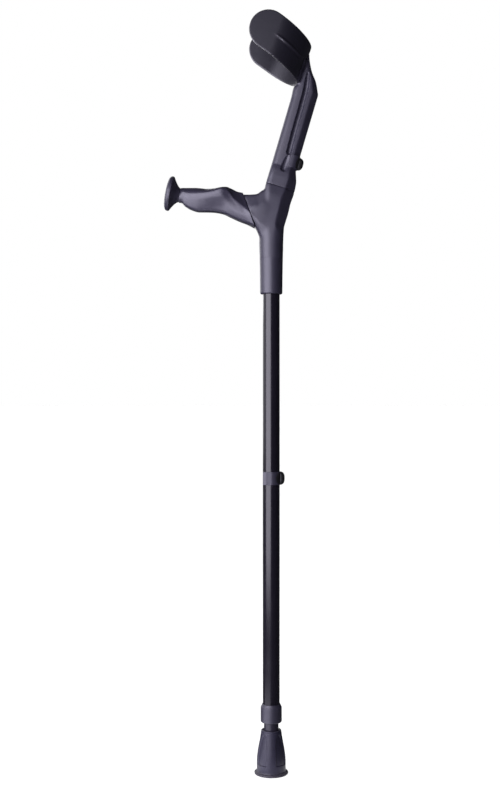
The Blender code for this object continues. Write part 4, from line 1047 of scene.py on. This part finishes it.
def rear_screws():
    """Screws from behind: name, node, frame seen from the bend, and length."""
    column_wall, socket_wall, bite = 0.0042, 0.0099, 0.0015
    tube_back, stub_back = SLEEVE_BORE + column_wall, STUB_DEPTH / 2 + GAP + socket_wall
    x, z = lean_point(stub_back, STUB_SCREW_ALONG)
    tube_frame = turned((tube_back, 0, -TUBE_SCREW_DROP), math.pi / 2)
    stub_frame = turned((x, 0, z), math.pi / 2 + size("forearm_lean"))
    inside = TUBE_WALL + GAP + bite
    return (
        ("tube_screw", "handle_tube_screw", tube_frame, tube_back - TUBE_RADIUS + inside),
        ("stub_screw", "handle_stub_screw", stub_frame, stub_back - STUB_DEPTH / 2 + inside),
    )


def screw_profile(length, clearance=0.0, head_room=0.0):
    """Countersunk screw down from the face of its head, or the space for one with room over its head."""
    head, shank, lip = SCREW_HEAD + clearance, SCREW_SHANK + clearance, 0.0006
    start = [(0.0, head_room), (head, head_room)] if head_room else [(0.0, 0.0)]
    return start + [
        (head, 0.0), (head, -lip), (shank, -lip - head + shank), (shank, -length + shank * 0.4),
        (shank * 0.6, -length), (0.0, -length),
    ]


def recess(width, depth, top=0.0):
    """Cross-shaped driver recess for a head whose face is at the given height."""
    arm, half = width / 2, width * 0.13
    outline = [
        (arm, -half), (arm, half), (half, half), (half, arm), (-half, arm), (-half, half),
        (-arm, half), (-arm, -half), (-half, -half), (-half, -arm), (half, -arm), (half, -half),
    ]
    return prism("recess", outline, top - depth, top + 0.001)


def stub_outline(clearance):
    half_depth, half_width = STUB_DEPTH / 2 + clearance, STUB_WIDTH / 2 + clearance
    return rounded_rectangle(half_depth, half_width, STUB_CORNER + clearance)


def build_handle():
    """Handle moulding: sleeve, bent column with the stub's socket, and the core that carries the grip."""
    shoulder = loft("shoulder", shoulder_rows(), shape=grip_ring)
    solids = [loft("column", column_rows()), loft("arm", arm_rows()), shoulder]
    mesh = fused(
        "handle_moulding", solids, voxel=0.0006, rounds=5, seam=0.0048, seam_rounds=110, share=0.34
    )
    end = grip_rows()[-1]
    pad = grip_rows()[:-1] + [(end[0] + GAP, end[1], end[2] + GAP, *end[3:])]
    room = cut(loft("grip_room", pad, spacing=0.0010, shape=grip_ring), [loft("core", arm_rows())])
    tube_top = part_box("outer_tube")[1].z + GAP - size("bend_height")
    socket = prism("socket", stub_outline(GAP), STUB_BOTTOM - GAP, MOUTH_ALONG + 0.01)
    socket.transform(Matrix.Rotation(size("forearm_lean"), 4, "Y"))
    cutters = [room, bar("bore", SLEEVE_BORE, (0, 0, -0.115), (0, 0, tube_top), steps=128), socket]
    for name, node_name, place, length in rear_screws():
        hole = lathe(name, screw_profile(length + GAP, clearance=GAP, head_room=0.01), steps=64)
        hole.transform(place)
        cutters.append(hole)
    mesh = cut(mesh, cutters)
    piece("handle_moulding", mesh, "handle", ["handle_body"], anthracite(), bend_frame())


def grip_rows():
    """Palm pad: undercut sides under a rim that widens to the rear, scooped away behind for the thumb.

    Each row has the low and the high point, and the halves and shares for grip_ring.
    """
    front = -size("grip_reach")
    ends = (
        (front - 0.0018, 0.0122, front + 0.0018, 0.0303), (front + 0.0016, 0.0119, front + 0.0048, 0.0305),
        (front + 0.0072, 0.0071, front + 0.0112, 0.0304), (front + 0.0160, 0.0022, front + 0.0190, 0.0304),
        (front + 0.0259, -0.0003, front + 0.0279, 0.0298),
        (front + 0.0340, -0.0003, front + 0.0359, 0.0289),
        (-0.0770, -0.0005, -0.0760, 0.0290), (-0.0640, -0.0025, -0.0655, 0.0302),
        (-0.0510, -0.0083, -0.0585, 0.0308), (-0.0410, -0.0127, -0.0510, 0.0286),
        (-0.0320, -0.0160, -0.0440, 0.0254), (-0.0255, -0.0190, -0.0400, 0.0246),
        (-0.0215, -0.0211, -0.0372, 0.0241),
    )
    sides = (
        (0.0058, 0.0054, 0.25, 0.0086, 0.46, 0.0092, 0.70, 0.0086),
        (0.0064, 0.0056, 0.25, 0.0094, 0.44, 0.0103, 0.72, 0.0103),
        (0.0074, 0.0060, 0.22, 0.0102, 0.42, 0.0120, 0.73, 0.0121),
        (0.0082, 0.0064, 0.22, 0.0110, 0.48, 0.0135, 0.76, 0.0137),
        (0.0086, 0.0070, 0.22, 0.0114, 0.55, 0.0149, 0.80, 0.0151),
        (0.0088, 0.0082, 0.22, 0.0116, 0.60, 0.0161, 0.83, 0.0164),
        (0.0090, 0.0106, 0.22, 0.0117, 0.63, 0.0172, 0.88, 0.0176),
        (0.0094, 0.0140, 0.22, 0.0120, 0.66, 0.0183, 0.92, 0.0188),
        (0.0098, 0.0124, 0.24, 0.0134, 0.66, 0.0166, 0.88, 0.0178),
        (0.0104, 0.0084, 0.24, 0.0141, 0.50, 0.0150, 0.65, 0.0158),
        (0.0112, 0.0066, 0.24, 0.0147, 0.44, 0.0151, 0.58, 0.0150),
        (0.0126, 0.0060, 0.24, 0.0154, 0.40, 0.0160, 0.52, 0.0148),
        (0.0134, 0.0058, 0.24, 0.0158, 0.38, 0.0168, 0.50, 0.0148),
    )
    return [(*points, *halves) for points, halves in zip(ends, sides)]


def grown(row, by):
    """The same row a little taller at both ends and wider at both sides."""
    low, high = Vector(row[:2]), Vector(row[2:4])
    along = (high - low).normalized() * by
    return (*(low - along), *(high + along), row[4] + by, row[5] + by, *row[6:])


def build_grip():
    """Moulded grip with its palm pad, hollow round the handle's core."""
    pad = loft("pad", grip_rows(), spacing=0.0010, shape=grip_ring)
    mesh = fused("palm_grip", [pad], voxel=0.0006, rounds=4, share=0.45)
    rows = arm_rows()
    rows[0] = (rows[0][0] - GAP, rows[0][1], rows[0][2] - GAP, *rows[0][3:])
    core = loft("core", [grown(row, GAP) for row in rows])
    screw_hole = bar("hole", PILOT_RADIUS, (0, 0, 0), (0, 0, -STOP_SCREW_LENGTH))
    screw_hole.transform(stop_frame())
    mesh = cut(mesh, [core, screw_hole])
    piece("palm_grip", mesh, "handle", ["grip_sleeve"], grip_moulding(), bend_frame())


def stop_frame():
    """Frame of the hand stop seen from the bend: local +Z points out of its front."""
    tilt = math.radians(11.0)
    x = -size("grip_reach") - GAP - STOP_LENGTH * math.cos(tilt)
    z = STOP_HEIGHT + STOP_LENGTH * math.sin(tilt)
    return turned((x, 0, z), -math.pi / 2 + tilt)


def build_hand_stop():
    """Mushroom-shaped hand stop and its screw."""
    rim, neck, length = size("stop_diameter") / 2, 0.0092, STOP_LENGTH
    dome, seat, thickness, head = 0.0042, 0.0018, 0.0038, 0.00405
    cone = []
    for i in range(19):
        share = i / 18
        radius = neck + (rim - 0.0007 - neck) * (1 - share) ** 1.5
        cone.append((radius, -thickness - (length - thickness) * share))
    front = [
        (head, seat), (head, dome), (rim * 0.45, dome * 0.96), (rim * 0.72, dome * 0.80),
        (rim * 0.87, dome * 0.60), (rim * 0.96, dome * 0.26), (rim, -thickness * 0.16),
        (rim, -thickness * 0.82), cone[0],
    ]
    profile = rounded(front, 0.0030, 8) + cone[1:] + [(PILOT_RADIUS, -length), (PILOT_RADIUS, seat)]
    mesh = lathe("hand_stop", profile, steps=180)
    place = bend_frame() @ stop_frame()
    piece("hand_stop", mesh, "handle", ["hand_stop_disc"], anthracite(), place)
    top, edge, depth = dome - 0.0004, 0.0006, -STOP_SCREW_LENGTH
    screw = [
        (0.0, top), (0.0031, top), (SCREW_HEAD, top - edge), (SCREW_HEAD, seat + GAP),
        (SCREW_SHANK, seat + GAP), (SCREW_SHANK, depth), (0.0, depth),
    ]
    mesh = lathe("stop_screw", rounded(screw, 0.0003, 4), steps=64)
    mesh = cut(mesh, [recess(0.0042, depth=0.0013, top=top)])
    piece("stop_screw", mesh, "handle", ["grip_screw"], zinc_steel(), place)


def cuff_point(behind, up):
    """Place in XZ, seen from the forearm piece, of a point given in the cuff's frame."""
    return (
        CUFF_AHEAD + behind * math.cos(CUFF_TIP) + up * math.sin(CUFF_TIP),
        CUFF_ALONG - behind * math.sin(CUFF_TIP) + up * math.cos(CUFF_TIP),
    )


def cuff_half():
    """Half of the cuff's band, measured up the slope of its back."""
    return size("cuff_band") / 2 / math.cos(LEAN)


def upright_rows():
    """Foot block, double-rod shaft, and the neck that tapers out up the cuff's back wall."""
    ahead, behind, half, flare = 0.0172, SHAFT_BEHIND, SHAFT_HALF, 0.0059
    foot, wide, corner = MOUTH_ALONG + 0.00008, 0.0124, SHAFT_CORNER * 0.84
    clip_foot = FOREARM_CLIP_ALONG - FOREARM_CLIP_BAND / 2 - 0.0010
    rows = [
        (foot, ahead - 0.0001, behind + flare - 0.0001, wide - 0.0001, SHAFT_CORNER * 0.80, 0.0004, 0.0126),
        (foot + 0.0003, ahead, behind + flare, wide, SHAFT_CORNER * 0.82, 0.0004, 0.0126),
        (foot + 0.0110, ahead, behind + flare * 0.85, wide, corner, 0.0006, 0.0114),
        (foot + 0.0190, ahead, behind + flare * 0.45, wide - 0.0005, corner, 0.0010, 0.0098),
        (clip_foot - 0.0025, ahead, behind + flare * 0.1, half + 0.0007, corner, 0.0016, 0.0084),
        (clip_foot, ahead, behind, half, corner, 0.0020, 0.0078),
        (clip_foot + 0.0200, ahead, behind, half, corner, 0.0022, 0.0080),
        (SHAFT_BEND - 0.0160, ahead, behind, half, corner, 0.0022, 0.0080),
        (SHAFT_BEND - 0.0030, ahead + 0.0008, behind, half, corner, 0.0022, 0.0078),
    ]
    rows = [section((-a, z), (b, z), h, c, slope, wedge) for z, a, b, h, c, slope, wedge in rows]
    band, neck_back = cuff_half(), 0.0270
    for up, back, narrower in (
        (-1.05, neck_back, 0.0), (-0.62, 0.0206, 0.0002), (-0.24, 0.0122, 0.0008),
        (0.12, 0.0062, 0.0018), (0.46, 0.0018, 0.0034), (0.60, 0.0006, 0.0050),
    ):
        low, high = cuff_point(-CUFF_WALL, band * up), cuff_point(back, band * up)
        wedge = 0.0078 * back / neck_back
        rows.append(section(low, high, half - narrower, SHAFT_CORNER * 0.8, 0.0016, wedge))
    return rows


def groove_rods():
    """Narrow grooves between the two rods of the shaft, and the wide shallow run-outs under them."""
    start, bend, foot = FOREARM_CLIP_ALONG + 0.0075, SHAFT_BEND, FOREARM_CLIP_ALONG - FOREARM_CLIP_BAND
    radius, depth, wide, wide_depth = 0.0034, 0.0034, 0.0046, 0.0022
    path = [
        (0.0006, start - 0.0010), (0.0006, start), (0.0005, start + 0.0015), (-0.0004, start + 0.0300),
        (-0.0008, bend - 0.0100), (-0.0016, bend + 0.0020), (-0.0028, bend + 0.0100),
        (-0.0044, bend + 0.0190), (-0.0050, bend + 0.0215),
    ]
    swell = (0.30, 0.75, 1.0, 1.0, 1.0, 1.0, 0.9, 0.6, 0.25)
    run_out = [
        (-0.0005, foot), (-0.0004, foot + 0.0012), (-0.0003, foot + 0.0035), (0.0000, foot + 0.0120),
        (0.0006, foot + 0.0200), (0.0009, foot + 0.0250),
    ]
    run_out_swell = (0.45, 0.78, 1.0, 1.0, 0.75, 0.45)
    rods = []
    for side in (1, -1):
        groove = [(x, side * (SHAFT_HALF - depth + radius), z) for x, z in path]
        rods.append(rod("groove", groove, radius, swell))
        groove = [(x, side * (SHAFT_HALF - wide_depth + wide), z) for x, z in run_out]
        rods.append(rod("run_out", groove, wide, run_out_swell))
    return rods


def cuff_space():
    """Space that the cuff fills with a clearance all round, in the cuff's frame."""
    outer, band = size("cuff_radius"), size("cuff_band")
    front = -outer - CUFF_ARM - band
    plan = arc((-outer, 0), outer + GAP, -90, 90, 90) + [(front, outer + GAP), (front, -outer - GAP)]
    space = prism("cuff_space", plan, -0.12, 0.12)
    half, rise, back, inner = cuff_half() + GAP, math.tan(LEAN), 0.02, -CUFF_WALL - GAP
    side = [(back, -half), (back, -back * rise + half), (front, -front * rise + half)]
    side += [(front, (inner - front) * rise - half), (inner, -half)]
    slab = prism("slab", side, -band * 2, band * 2)
    slab.transform(Matrix.Rotation(math.pi / 2, 4, "X"))
    return cut(space, [slab], "INTERSECT")


def build_forearm_piece():
    """Forearm piece: foot block, shaft with its grooves, neck and saddle behind the cuff."""
    outer, band, shift, proud, sunk = size("cuff_radius"), cuff_half(), 0.018, 0.0024, 0.0020
    outline = arc((shift - outer, 0), outer + proud - shift, -34, 34, 24)
    outline += arc((-outer, 0), outer - sunk, 21.5, -21.5, 24)
    saddle = prism("saddle", outline, -band * 0.98, band * 0.20)
    saddle.transform(cuff_turn())
    solids = [loft("shaft", upright_rows(), spacing=0.0010), saddle]
    mesh = fused("forearm_piece", solids, voxel=0.0006, rounds=4, seam=0.0030, seam_rounds=40)
    mesh = cut(mesh, groove_rods())
    mesh = fused("forearm_piece", [mesh], voxel=0.0005, rounds=4, share=0.32)
    space = cuff_space()
    space.transform(cuff_turn())
    stub_space = prism("stub_space", stub_outline(GAP), MOUTH_ALONG - 0.01, STUB_TOP + 0.0035)
    pin_start, pin_end = (STUB_DEPTH / 2, 0, FOREARM_CLIP_ALONG), (0.0259, 0, FOREARM_CLIP_ALONG)
    cutters = [space, stub_space, bar("pin_hole", PILOT_RADIUS, pin_start, pin_end)]
    for up in CUFF_SCREW_HEIGHTS:
        pilot = bar("pilot", PILOT_RADIUS, (-0.001, 0, up), (0.0055, 0, up))
        pilot.transform(cuff_turn())
        cutters.append(pilot)
    mesh = cut(mesh, cutters)
    piece("forearm_piece", mesh, "forearm", ["forearm_upright"], anthracite(), lean_frame())


def cuff_columns():
    """Outer face of the cuff: rows across the band, columns from one arm round the back to the other."""
    radius, half, slope = size("cuff_radius"), size("cuff_band") / 2, LEAN
    rows = [2 * i / 23 - 1 for i in range(24)]
    end = -radius - CUFF_ARM

    def end_point(forward, across):
        return (
            end - forward * math.cos(slope) + across * math.sin(slope),
            -end * math.tan(slope) + forward * math.sin(slope) + across * math.cos(slope),
        )

    def on_wall(behind, side):
        inside = max(0.0, behind + radius)
        return side * math.sqrt(max(0.0, radius**2 - inside**2))

    tip_angle = math.radians(10)
    across = [s * math.sin(tip_angle) * half for s in rows]
    arm = [[end_point(math.sqrt(half**2 - a**2), a) for a in across]]
    for i in range(1, 25):
        angle = tip_angle + (math.pi / 2 - tip_angle) * i / 24
        arm.append([end_point(half * math.cos(angle), s * half * math.sin(angle)) for s in rows])
    start = [(-radius, radius * math.tan(slope) + s * half / math.cos(slope)) for s in rows]
    for i in range(1, 8):
        arm.append([tuple(a + (b - a) * i / 8 for a, b in zip(p, q)) for p, q in zip(arm[24], start)])
    columns = [[(b, on_wall(b, -1), u) for b, u in column] for column in arm]
    for i in range(97):
        angle = -math.pi / 2 + math.pi * i / 96
        behind = radius * (math.cos(angle) - 1)
        heights = [-behind * math.tan(slope) + s * half / math.cos(slope) for s in rows]
        columns.append([(behind, radius * math.sin(angle), up) for up in heights])
    return columns + [[(b, on_wall(b, 1), u) for b, u in column] for column in reversed(arm)]


def cuff_rib(side):
    """Raised rib along the middle of one outer side, which carries on the line of the neck."""
    outer, rib, proud, first, steps = size("cuff_radius"), 0.0019, 0.0013, 92.0, 28
    saddle_half, margin = 0.0175, 0.0028
    radius = outer + proud - rib
    last = math.degrees(math.asin((saddle_half + margin) / radius))
    path = []
    for i in range(steps + 1):
        angle = math.radians(first + (last - first) * i / steps)
        behind = radius * math.cos(angle) - outer
        across = radius * math.sin(angle) if angle < math.pi / 2 else radius
        path.append((behind, side * across, -behind * math.tan(LEAN)))
    swell = [min(1.0, 0.40 + 0.08 * i, 0.45 + 0.2 * (steps - i)) for i in range(steps + 1)]
    return rod("rib", path, rib, swell)


def cuff_screw_frames():
    """Frames of the cuff's two screws, seen from the cuff: local +Z points out of their heads."""
    return [turned((CUFF_SCREW_SEAT, 0, up), -math.pi / 2) for up in CUFF_SCREW_HEIGHTS]


def build_cuff():
    """Open cuff with rounded rims, side ribs and the seats of its two countersunk screws."""
    bm = bmesh.new()
    columns = [[bm.verts.new(p) for p in column] for column in cuff_columns()]
    for near, far in zip(columns, columns[1:]):
        for i in range(len(near) - 1):
            bm.faces.new((near[i], far[i], far[i + 1], near[i + 1]))
    shell = shaped(mesh_from(bm, "cuff_shell", outward=False), [
        ("SOLIDIFY", {"thickness": CUFF_WALL, "offset": -1.0, "use_even_offset": True}),
        bevel(0.0011, segments=4, over=50),
    ])
    solids = [shell, cuff_rib(1), cuff_rib(-1)]
    mesh = fused("cuff_shell", solids, voxel=0.0006, rounds=3, seam=0.0016, seam_rounds=24, share=0.28)
    seats = []
    for place in cuff_screw_frames():
        seat = lathe("seat", screw_profile(0.0053, clearance=GAP, head_room=0.01), steps=64)
        seat.transform(place)
        seats.append(seat)
    mesh = cut(mesh, seats)
    piece("cuff_shell", mesh, "forearm", ["cuff"], cuff_moulding(), cuff_frame())


def build_screws():
    """Countersunk screws of the handle and the cuff, with cross recesses."""
    def screw(name, node_name, body, place, length):
        mesh = lathe(name, rounded(screw_profile(length), 0.00025, 3), steps=64)
        mesh = cut(mesh, [recess(width=0.0046, depth=0.0015)])
        piece(name, mesh, body, [node_name], zinc_steel(), place)

    for name, node_name, place, length in rear_screws():
        screw(name, node_name, "handle", bend_frame() @ place, length)
    for name, place in zip(("cuff_screw_lower", "cuff_screw_upper"), cuff_screw_frames()):
        screw(f"{name}_head", name, "forearm", cuff_frame() @ place, 0.0079)


def build_stub():
    """Flat tube inside the forearm piece, with its row of stop holes."""
    mesh = prism("flat_tube", stub_outline(0.0), STUB_BOTTOM, STUB_TOP)
    cutters = [prism("bore", stub_outline(-STUB_WALL), STUB_BOTTOM - 0.005, STUB_TOP + 0.005)]
    stops = [FOREARM_CLIP_ALONG + i * FOREARM_PITCH for i in range(FOREARM_STOPS)]
    for z in [*stops, STUB_SCREW_ALONG]:
        start, end = (STUB_DEPTH / 2 - STUB_WALL * 2, 0, z), (STUB_DEPTH, 0, z)
        cutters.append(bar("hole", WIDE_PILOT_RADIUS, start, end))
    mesh = shaped(cut(mesh, cutters), [bevel(0.0002, segments=2, over=60)])
    piece("flat_tube", mesh, "handle", ["forearm_stub"], bare_aluminium(), lean_frame())


def finish_covered_nodes():
    """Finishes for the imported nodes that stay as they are, all covered by others."""
    finishes = {
        "ferrule_washer": zinc_steel(), "inner_tube_guide": anthracite(), "forearm_stub_cap": anthracite(),
    }
    for name, finish in finishes.items():
        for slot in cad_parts[name].material_slots:
            slot.material = finish


# Stage

def area_light(name, place, target, width, height, power, colour=(1.0, 1.0, 1.0)):
    light = bpy.data.lights.new(name, "AREA")
    light.shape = "RECTANGLE"
    light.size, light.size_y = width, height
    light.energy = power
    light.color = colour
    obj = linked(name, light)
    obj.location = place
    obj.rotation_euler = (Vector(target) - Vector(place)).to_track_quat("-Z", "Y").to_euler()
    obj.visible_camera = False
    return obj


def tent_mesh(radius, height, start, end):
    """Wall between two angles from +X, a whole roof and a ring over the floor."""
    bm = bmesh.new()
    steps, foot = 64, 0.002

    def circle(reach, level, angles):
        return [bm.verts.new((reach * math.cos(a), reach * math.sin(a), level)) for a in angles]

    wall = [math.radians(start + (end - start) * i / steps) for i in range(steps + 1)]
    low, high = circle(radius, foot, wall), circle(radius, height, wall)
    for i in range(steps):
        bm.faces.new((low[i], low[i + 1], high[i + 1], high[i]))
    whole = [math.tau * i / steps for i in range(steps)]
    for level, inner, outer in ((height, 0.0001, radius), (foot, 0.06, radius * 4)):
        join_loops(bm, circle(inner, level, whole), circle(outer, level, whole))
    return mesh_from(bm, "black_tent")


def only_reflected(mesh, material):
    """Stage object that only reflections see."""
    mesh.materials.append(material)
    obj = linked(mesh.name, mesh)
    obj.visible_camera = False
    obj.visible_diffuse = False
    obj.visible_shadow = False
    obj.visible_transmission = False


def black_tent(radius, height, start, end):
    """Dark tent, so that gloss shows the lamp against black as it does in a studio."""
    material, tree, shader = finish_named("black_cloth")
    feed(tree, shader, {
        "Base Color": (0.02, 0.02, 0.022, 1.0),
        "Roughness": 1.0,
        "Emission Color": (0.8, 0.8, 1.0, 1.0),
        "Emission Strength": bpy.context.scene.crutch_studio.tent,
    })
    only_reflected(tent_mesh(radius, height, start, end), material)


def floor_card(radius, start, end):
    """White card on the floor under the broad light, seen only in reflections, with a painted glow: a
    painted pool of the lamp's light, brightest near the foot.
    """
    bm = bmesh.new()
    steps, level, inner = 32, 0.003, 0.03
    angles = [math.radians(start + (end - start) * i / steps) for i in range(steps + 1)]
    near, far = (
        [bm.verts.new((r * math.sin(a), -r * math.cos(a), level)) for a in angles] for r in (inner, radius)
    )
    for i in range(steps):
        bm.faces.new((near[i], far[i], far[i + 1], near[i + 1]))
    material, tree, shader = finish_named("white_card")
    feed(tree, shader, {
        "Base Color": (0.8, 0.8, 0.8, 1.0),
        "Roughness": 1.0,
        "Emission Color": (0.95, 0.95, 1.0, 1.0),
        # Painted pool of light: the glow is strongest near the foot and fades outward, standing in for the
        # lamp's light on the floor
        "Emission Strength": ranged(tree, from_origin(tree), 0.06, radius, 2.6, 0.1),
    })
    only_reflected(mesh_from(bm, "floor_card"), material)


def seen_rays(tree):
    """1 for rays from the camera and for reflected and transmitted ones, 0 for light on the object."""
    rays = node(tree, "ShaderNodeLightPath").outputs
    seen = math_node(tree, "MAXIMUM", rays["Is Camera Ray"], rays["Is Glossy Ray"])
    return math_node(tree, "MAXIMUM", seen, rays["Is Transmission Ray"])


def build_floor():
    """Pale floor with the object's shadow, half clear, so that a leg slid down past it still shows."""
    scene = bpy.context.scene
    bm = bmesh.new()
    bmesh.ops.create_circle(bm, cap_ends=True, segments=96, radius=60.0)
    mesh = mesh_from(bm, "floor", outward=False)
    floor = linked("floor", mesh)
    material, tree, shader = finish_named("studio_floor")
    pool = ranged(tree, from_origin(tree), 0.4, 2.0, 0.80, 1.0, interpolation_type="SMOOTHSTEP")
    feed(tree, shader, {
        "Base Color": (*scene.crutch_studio.floor, 1.0),
        "Roughness": 0.9,
        "Specular IOR Level": 0.0,
        "Emission Color": (1.0, 1.0, 1.0, 1.0),
        "Emission Strength": math_node(tree, "MULTIPLY", seen_rays(tree), pool),
    })
    rays = node(tree, "ShaderNodeLightPath").outputs
    clearness = 0.55
    share = math_node(
        tree, "MULTIPLY_ADD", rays["Is Camera Ray"], clearness, rays["Is Shadow Ray"], clamp=True
    )
    clear = node(tree, "ShaderNodeBsdfTransparent").outputs[0]
    both = node(tree, "ShaderNodeMixShader", {0: share, 1: shader.outputs[0], 2: clear})
    output = next(n for n in tree.nodes if n.type == "OUTPUT_MATERIAL")
    feed(tree, output, {"Surface": both.outputs[0]})
    mesh.materials.append(material)


def build_stage():
    """Pale floor, white surroundings, soft lamps, black tent and the camera."""
    scene = bpy.context.scene
    studio = scene.crutch_studio
    scene.view_settings.view_transform = "Standard"
    build_floor()

    world = bpy.data.worlds.new("studio")
    scene.world = world
    world.use_nodes = True
    tree = world.node_tree
    feed(tree, tree.nodes["Background"], {
        "Color": (1.0, 1.0, 1.0, 1.0),
        "Strength": ranged(tree, seen_rays(tree), 0.0, 1.0, studio.ambient, 1.0),
    })

    def around(azimuth, distance, height):
        """Place at an angle to the right of the camera's direction."""
        angle = math.radians(azimuth)
        return distance * math.sin(angle), -distance * math.cos(angle), height

    key_place, key_target = around(-42, 1.0, 0.66), (0.0, 0.0, 0.66)
    area_light("key_light", key_place, key_target, 1.34, 1.16, studio.key, tuple(studio.key_colour))
    for name, azimuth, gloss in (("back_light_left", 210, True), ("back_light_right", 150, False)):
        lamp = area_light(name, around(azimuth, 1.4, 1.25), (0.0, 0.0, 0.55), 1.0, 1.2, studio.back)
        lamp.visible_glossy = gloss
    black_tent(radius=2.3, height=2.2, start=-105, end=95)
    floor_card(radius=0.46, start=-96, end=-12)

    data = bpy.data.cameras.new("camera")
    data.lens = 54.2
    data.sensor_width = 36.0
    camera = linked("camera", data)
    camera.location = (-0.0278, -1.558, 0.494)
    camera.rotation_euler = (math.pi / 2, 0.0, 0.0)
    scene.camera = camera


# Operators

class Builder:
    """What the operators of this file share."""

    bl_options = {"REGISTER", "UNDO"}


class CRUTCH_OT_tubes(Builder, bpy.types.Operator):
    """Build the two leg tubes"""

    bl_idname = "crutch.tubes"
    bl_label = "Leg tubes"

    def execute(self, context):
        build_tubes()
        return {"FINISHED"}


class CRUTCH_OT_collar(Builder, bpy.types.Operator):
    """Build the collar at the foot of the upper tube"""

    bl_idname = "crutch.collar"
    bl_label = "Collar"

    def execute(self, context):
        build_collar()
        return {"FINISHED"}


class CRUTCH_OT_foot(Builder, bpy.types.Operator):
    """Build the rubber foot"""

    bl_idname = "crutch.foot"
    bl_label = "Rubber foot"

    def execute(self, context):
        build_foot()
        return {"FINISHED"}


class CRUTCH_OT_clips(Builder, bpy.types.Operator):
    """Build both clips and their stop pins"""

    bl_idname = "crutch.clips"
    bl_label = "Clips and pins"

    def execute(self, context):
        build_clips()
        return {"FINISHED"}


class CRUTCH_OT_handle(Builder, bpy.types.Operator):
    """Build the handle moulding"""

    bl_idname = "crutch.handle"
    bl_label = "Handle moulding"

    def execute(self, context):
        build_handle()
        return {"FINISHED"}


class CRUTCH_OT_grip(Builder, bpy.types.Operator):
    """Build the grip"""

    bl_idname = "crutch.grip"
    bl_label = "Grip"

    def execute(self, context):
        build_grip()
        return {"FINISHED"}


class CRUTCH_OT_hand_stop(Builder, bpy.types.Operator):
    """Build the hand stop and its screw"""

    bl_idname = "crutch.hand_stop"
    bl_label = "Hand stop"

    def execute(self, context):
        build_hand_stop()
        return {"FINISHED"}


class CRUTCH_OT_forearm_piece(Builder, bpy.types.Operator):
    """Build the forearm piece"""

    bl_idname = "crutch.forearm_piece"
    bl_label = "Forearm piece"

    def execute(self, context):
        build_forearm_piece()
        return {"FINISHED"}


class CRUTCH_OT_cuff(Builder, bpy.types.Operator):
    """Build the cuff"""

    bl_idname = "crutch.cuff"
    bl_label = "Cuff"

    def execute(self, context):
        build_cuff()
        return {"FINISHED"}


class CRUTCH_OT_screws(Builder, bpy.types.Operator):
    """Build the countersunk screws"""

    bl_idname = "crutch.screws"
    bl_label = "Screws"

    def execute(self, context):
        build_screws()
        return {"FINISHED"}


class CRUTCH_OT_stub(Builder, bpy.types.Operator):
    """Build the flat tube inside the forearm piece"""

    bl_idname = "crutch.stub"
    bl_label = "Flat tube"

    def execute(self, context):
        build_stub()
        return {"FINISHED"}


class CRUTCH_OT_covered(Builder, bpy.types.Operator):
    """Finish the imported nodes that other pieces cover"""

    bl_idname = "crutch.covered"
    bl_label = "Covered pieces"

    def execute(self, context):
        finish_covered_nodes()
        return {"FINISHED"}


class CRUTCH_OT_stage(Builder, bpy.types.Operator):
    """Build the floor, surroundings, lamps and camera"""

    bl_idname = "crutch.stage"
    bl_label = "Stage"

    def execute(self, context):
        build_stage()
        return {"FINISHED"}


OPERATORS = (
    CRUTCH_OT_tubes, CRUTCH_OT_collar, CRUTCH_OT_foot, CRUTCH_OT_clips, CRUTCH_OT_handle, CRUTCH_OT_grip,
    CRUTCH_OT_hand_stop, CRUTCH_OT_forearm_piece, CRUTCH_OT_cuff, CRUTCH_OT_screws, CRUTCH_OT_stub,
    CRUTCH_OT_covered, CRUTCH_OT_stage,
)


class CRUTCH_PT_panel(bpy.types.Panel):
    """Sizes, finishes and builders of the crutch"""

    bl_idname = "CRUTCH_PT_panel"
    bl_label = "Forearm crutch"
    bl_space_type = "VIEW_3D"
    bl_region_type = "UI"
    bl_category = "Crutch"

    def draw(self, context):
        scene = context.scene
        for group in (scene.crutch_sizes, scene.crutch_finish, scene.crutch_studio):
            box = self.layout.box()
            for name in group.bl_rna.properties.keys():
                if name not in {"rna_type", "name"}:
                    box.prop(group, name)
        for operator in OPERATORS:
            self.layout.operator(operator.bl_idname)


PROPERTIES = (
    ("crutch_sizes", CrutchSizes),
    ("crutch_finish", CrutchFinish),
    ("crutch_studio", CrutchStudio),
)


def register():
    for name, group in PROPERTIES:
        bpy.utils.register_class(group)
        setattr(bpy.types.Scene, name, bpy.props.PointerProperty(type=group))
    for operator in OPERATORS:
        bpy.utils.register_class(operator)
    bpy.utils.register_class(CRUTCH_PT_panel)


def unregister():
    bpy.utils.unregister_class(CRUTCH_PT_panel)
    for operator in reversed(OPERATORS):
        bpy.utils.unregister_class(operator)
    for name, group in reversed(PROPERTIES):
        delattr(bpy.types.Scene, name)
        bpy.utils.unregister_class(group)


def main():
    register()
    bpy.ops.crutch.tubes()
    bpy.ops.crutch.collar()
    bpy.ops.crutch.foot()
    bpy.ops.crutch.clips()
    bpy.ops.crutch.handle()
    bpy.ops.crutch.grip()
    bpy.ops.crutch.hand_stop()
    bpy.ops.crutch.forearm_piece()
    bpy.ops.crutch.cuff()
    bpy.ops.crutch.screws()
    bpy.ops.crutch.stub()
    bpy.ops.crutch.covered()
    bpy.ops.crutch.stage()


if __name__ == "__main__":
    main()
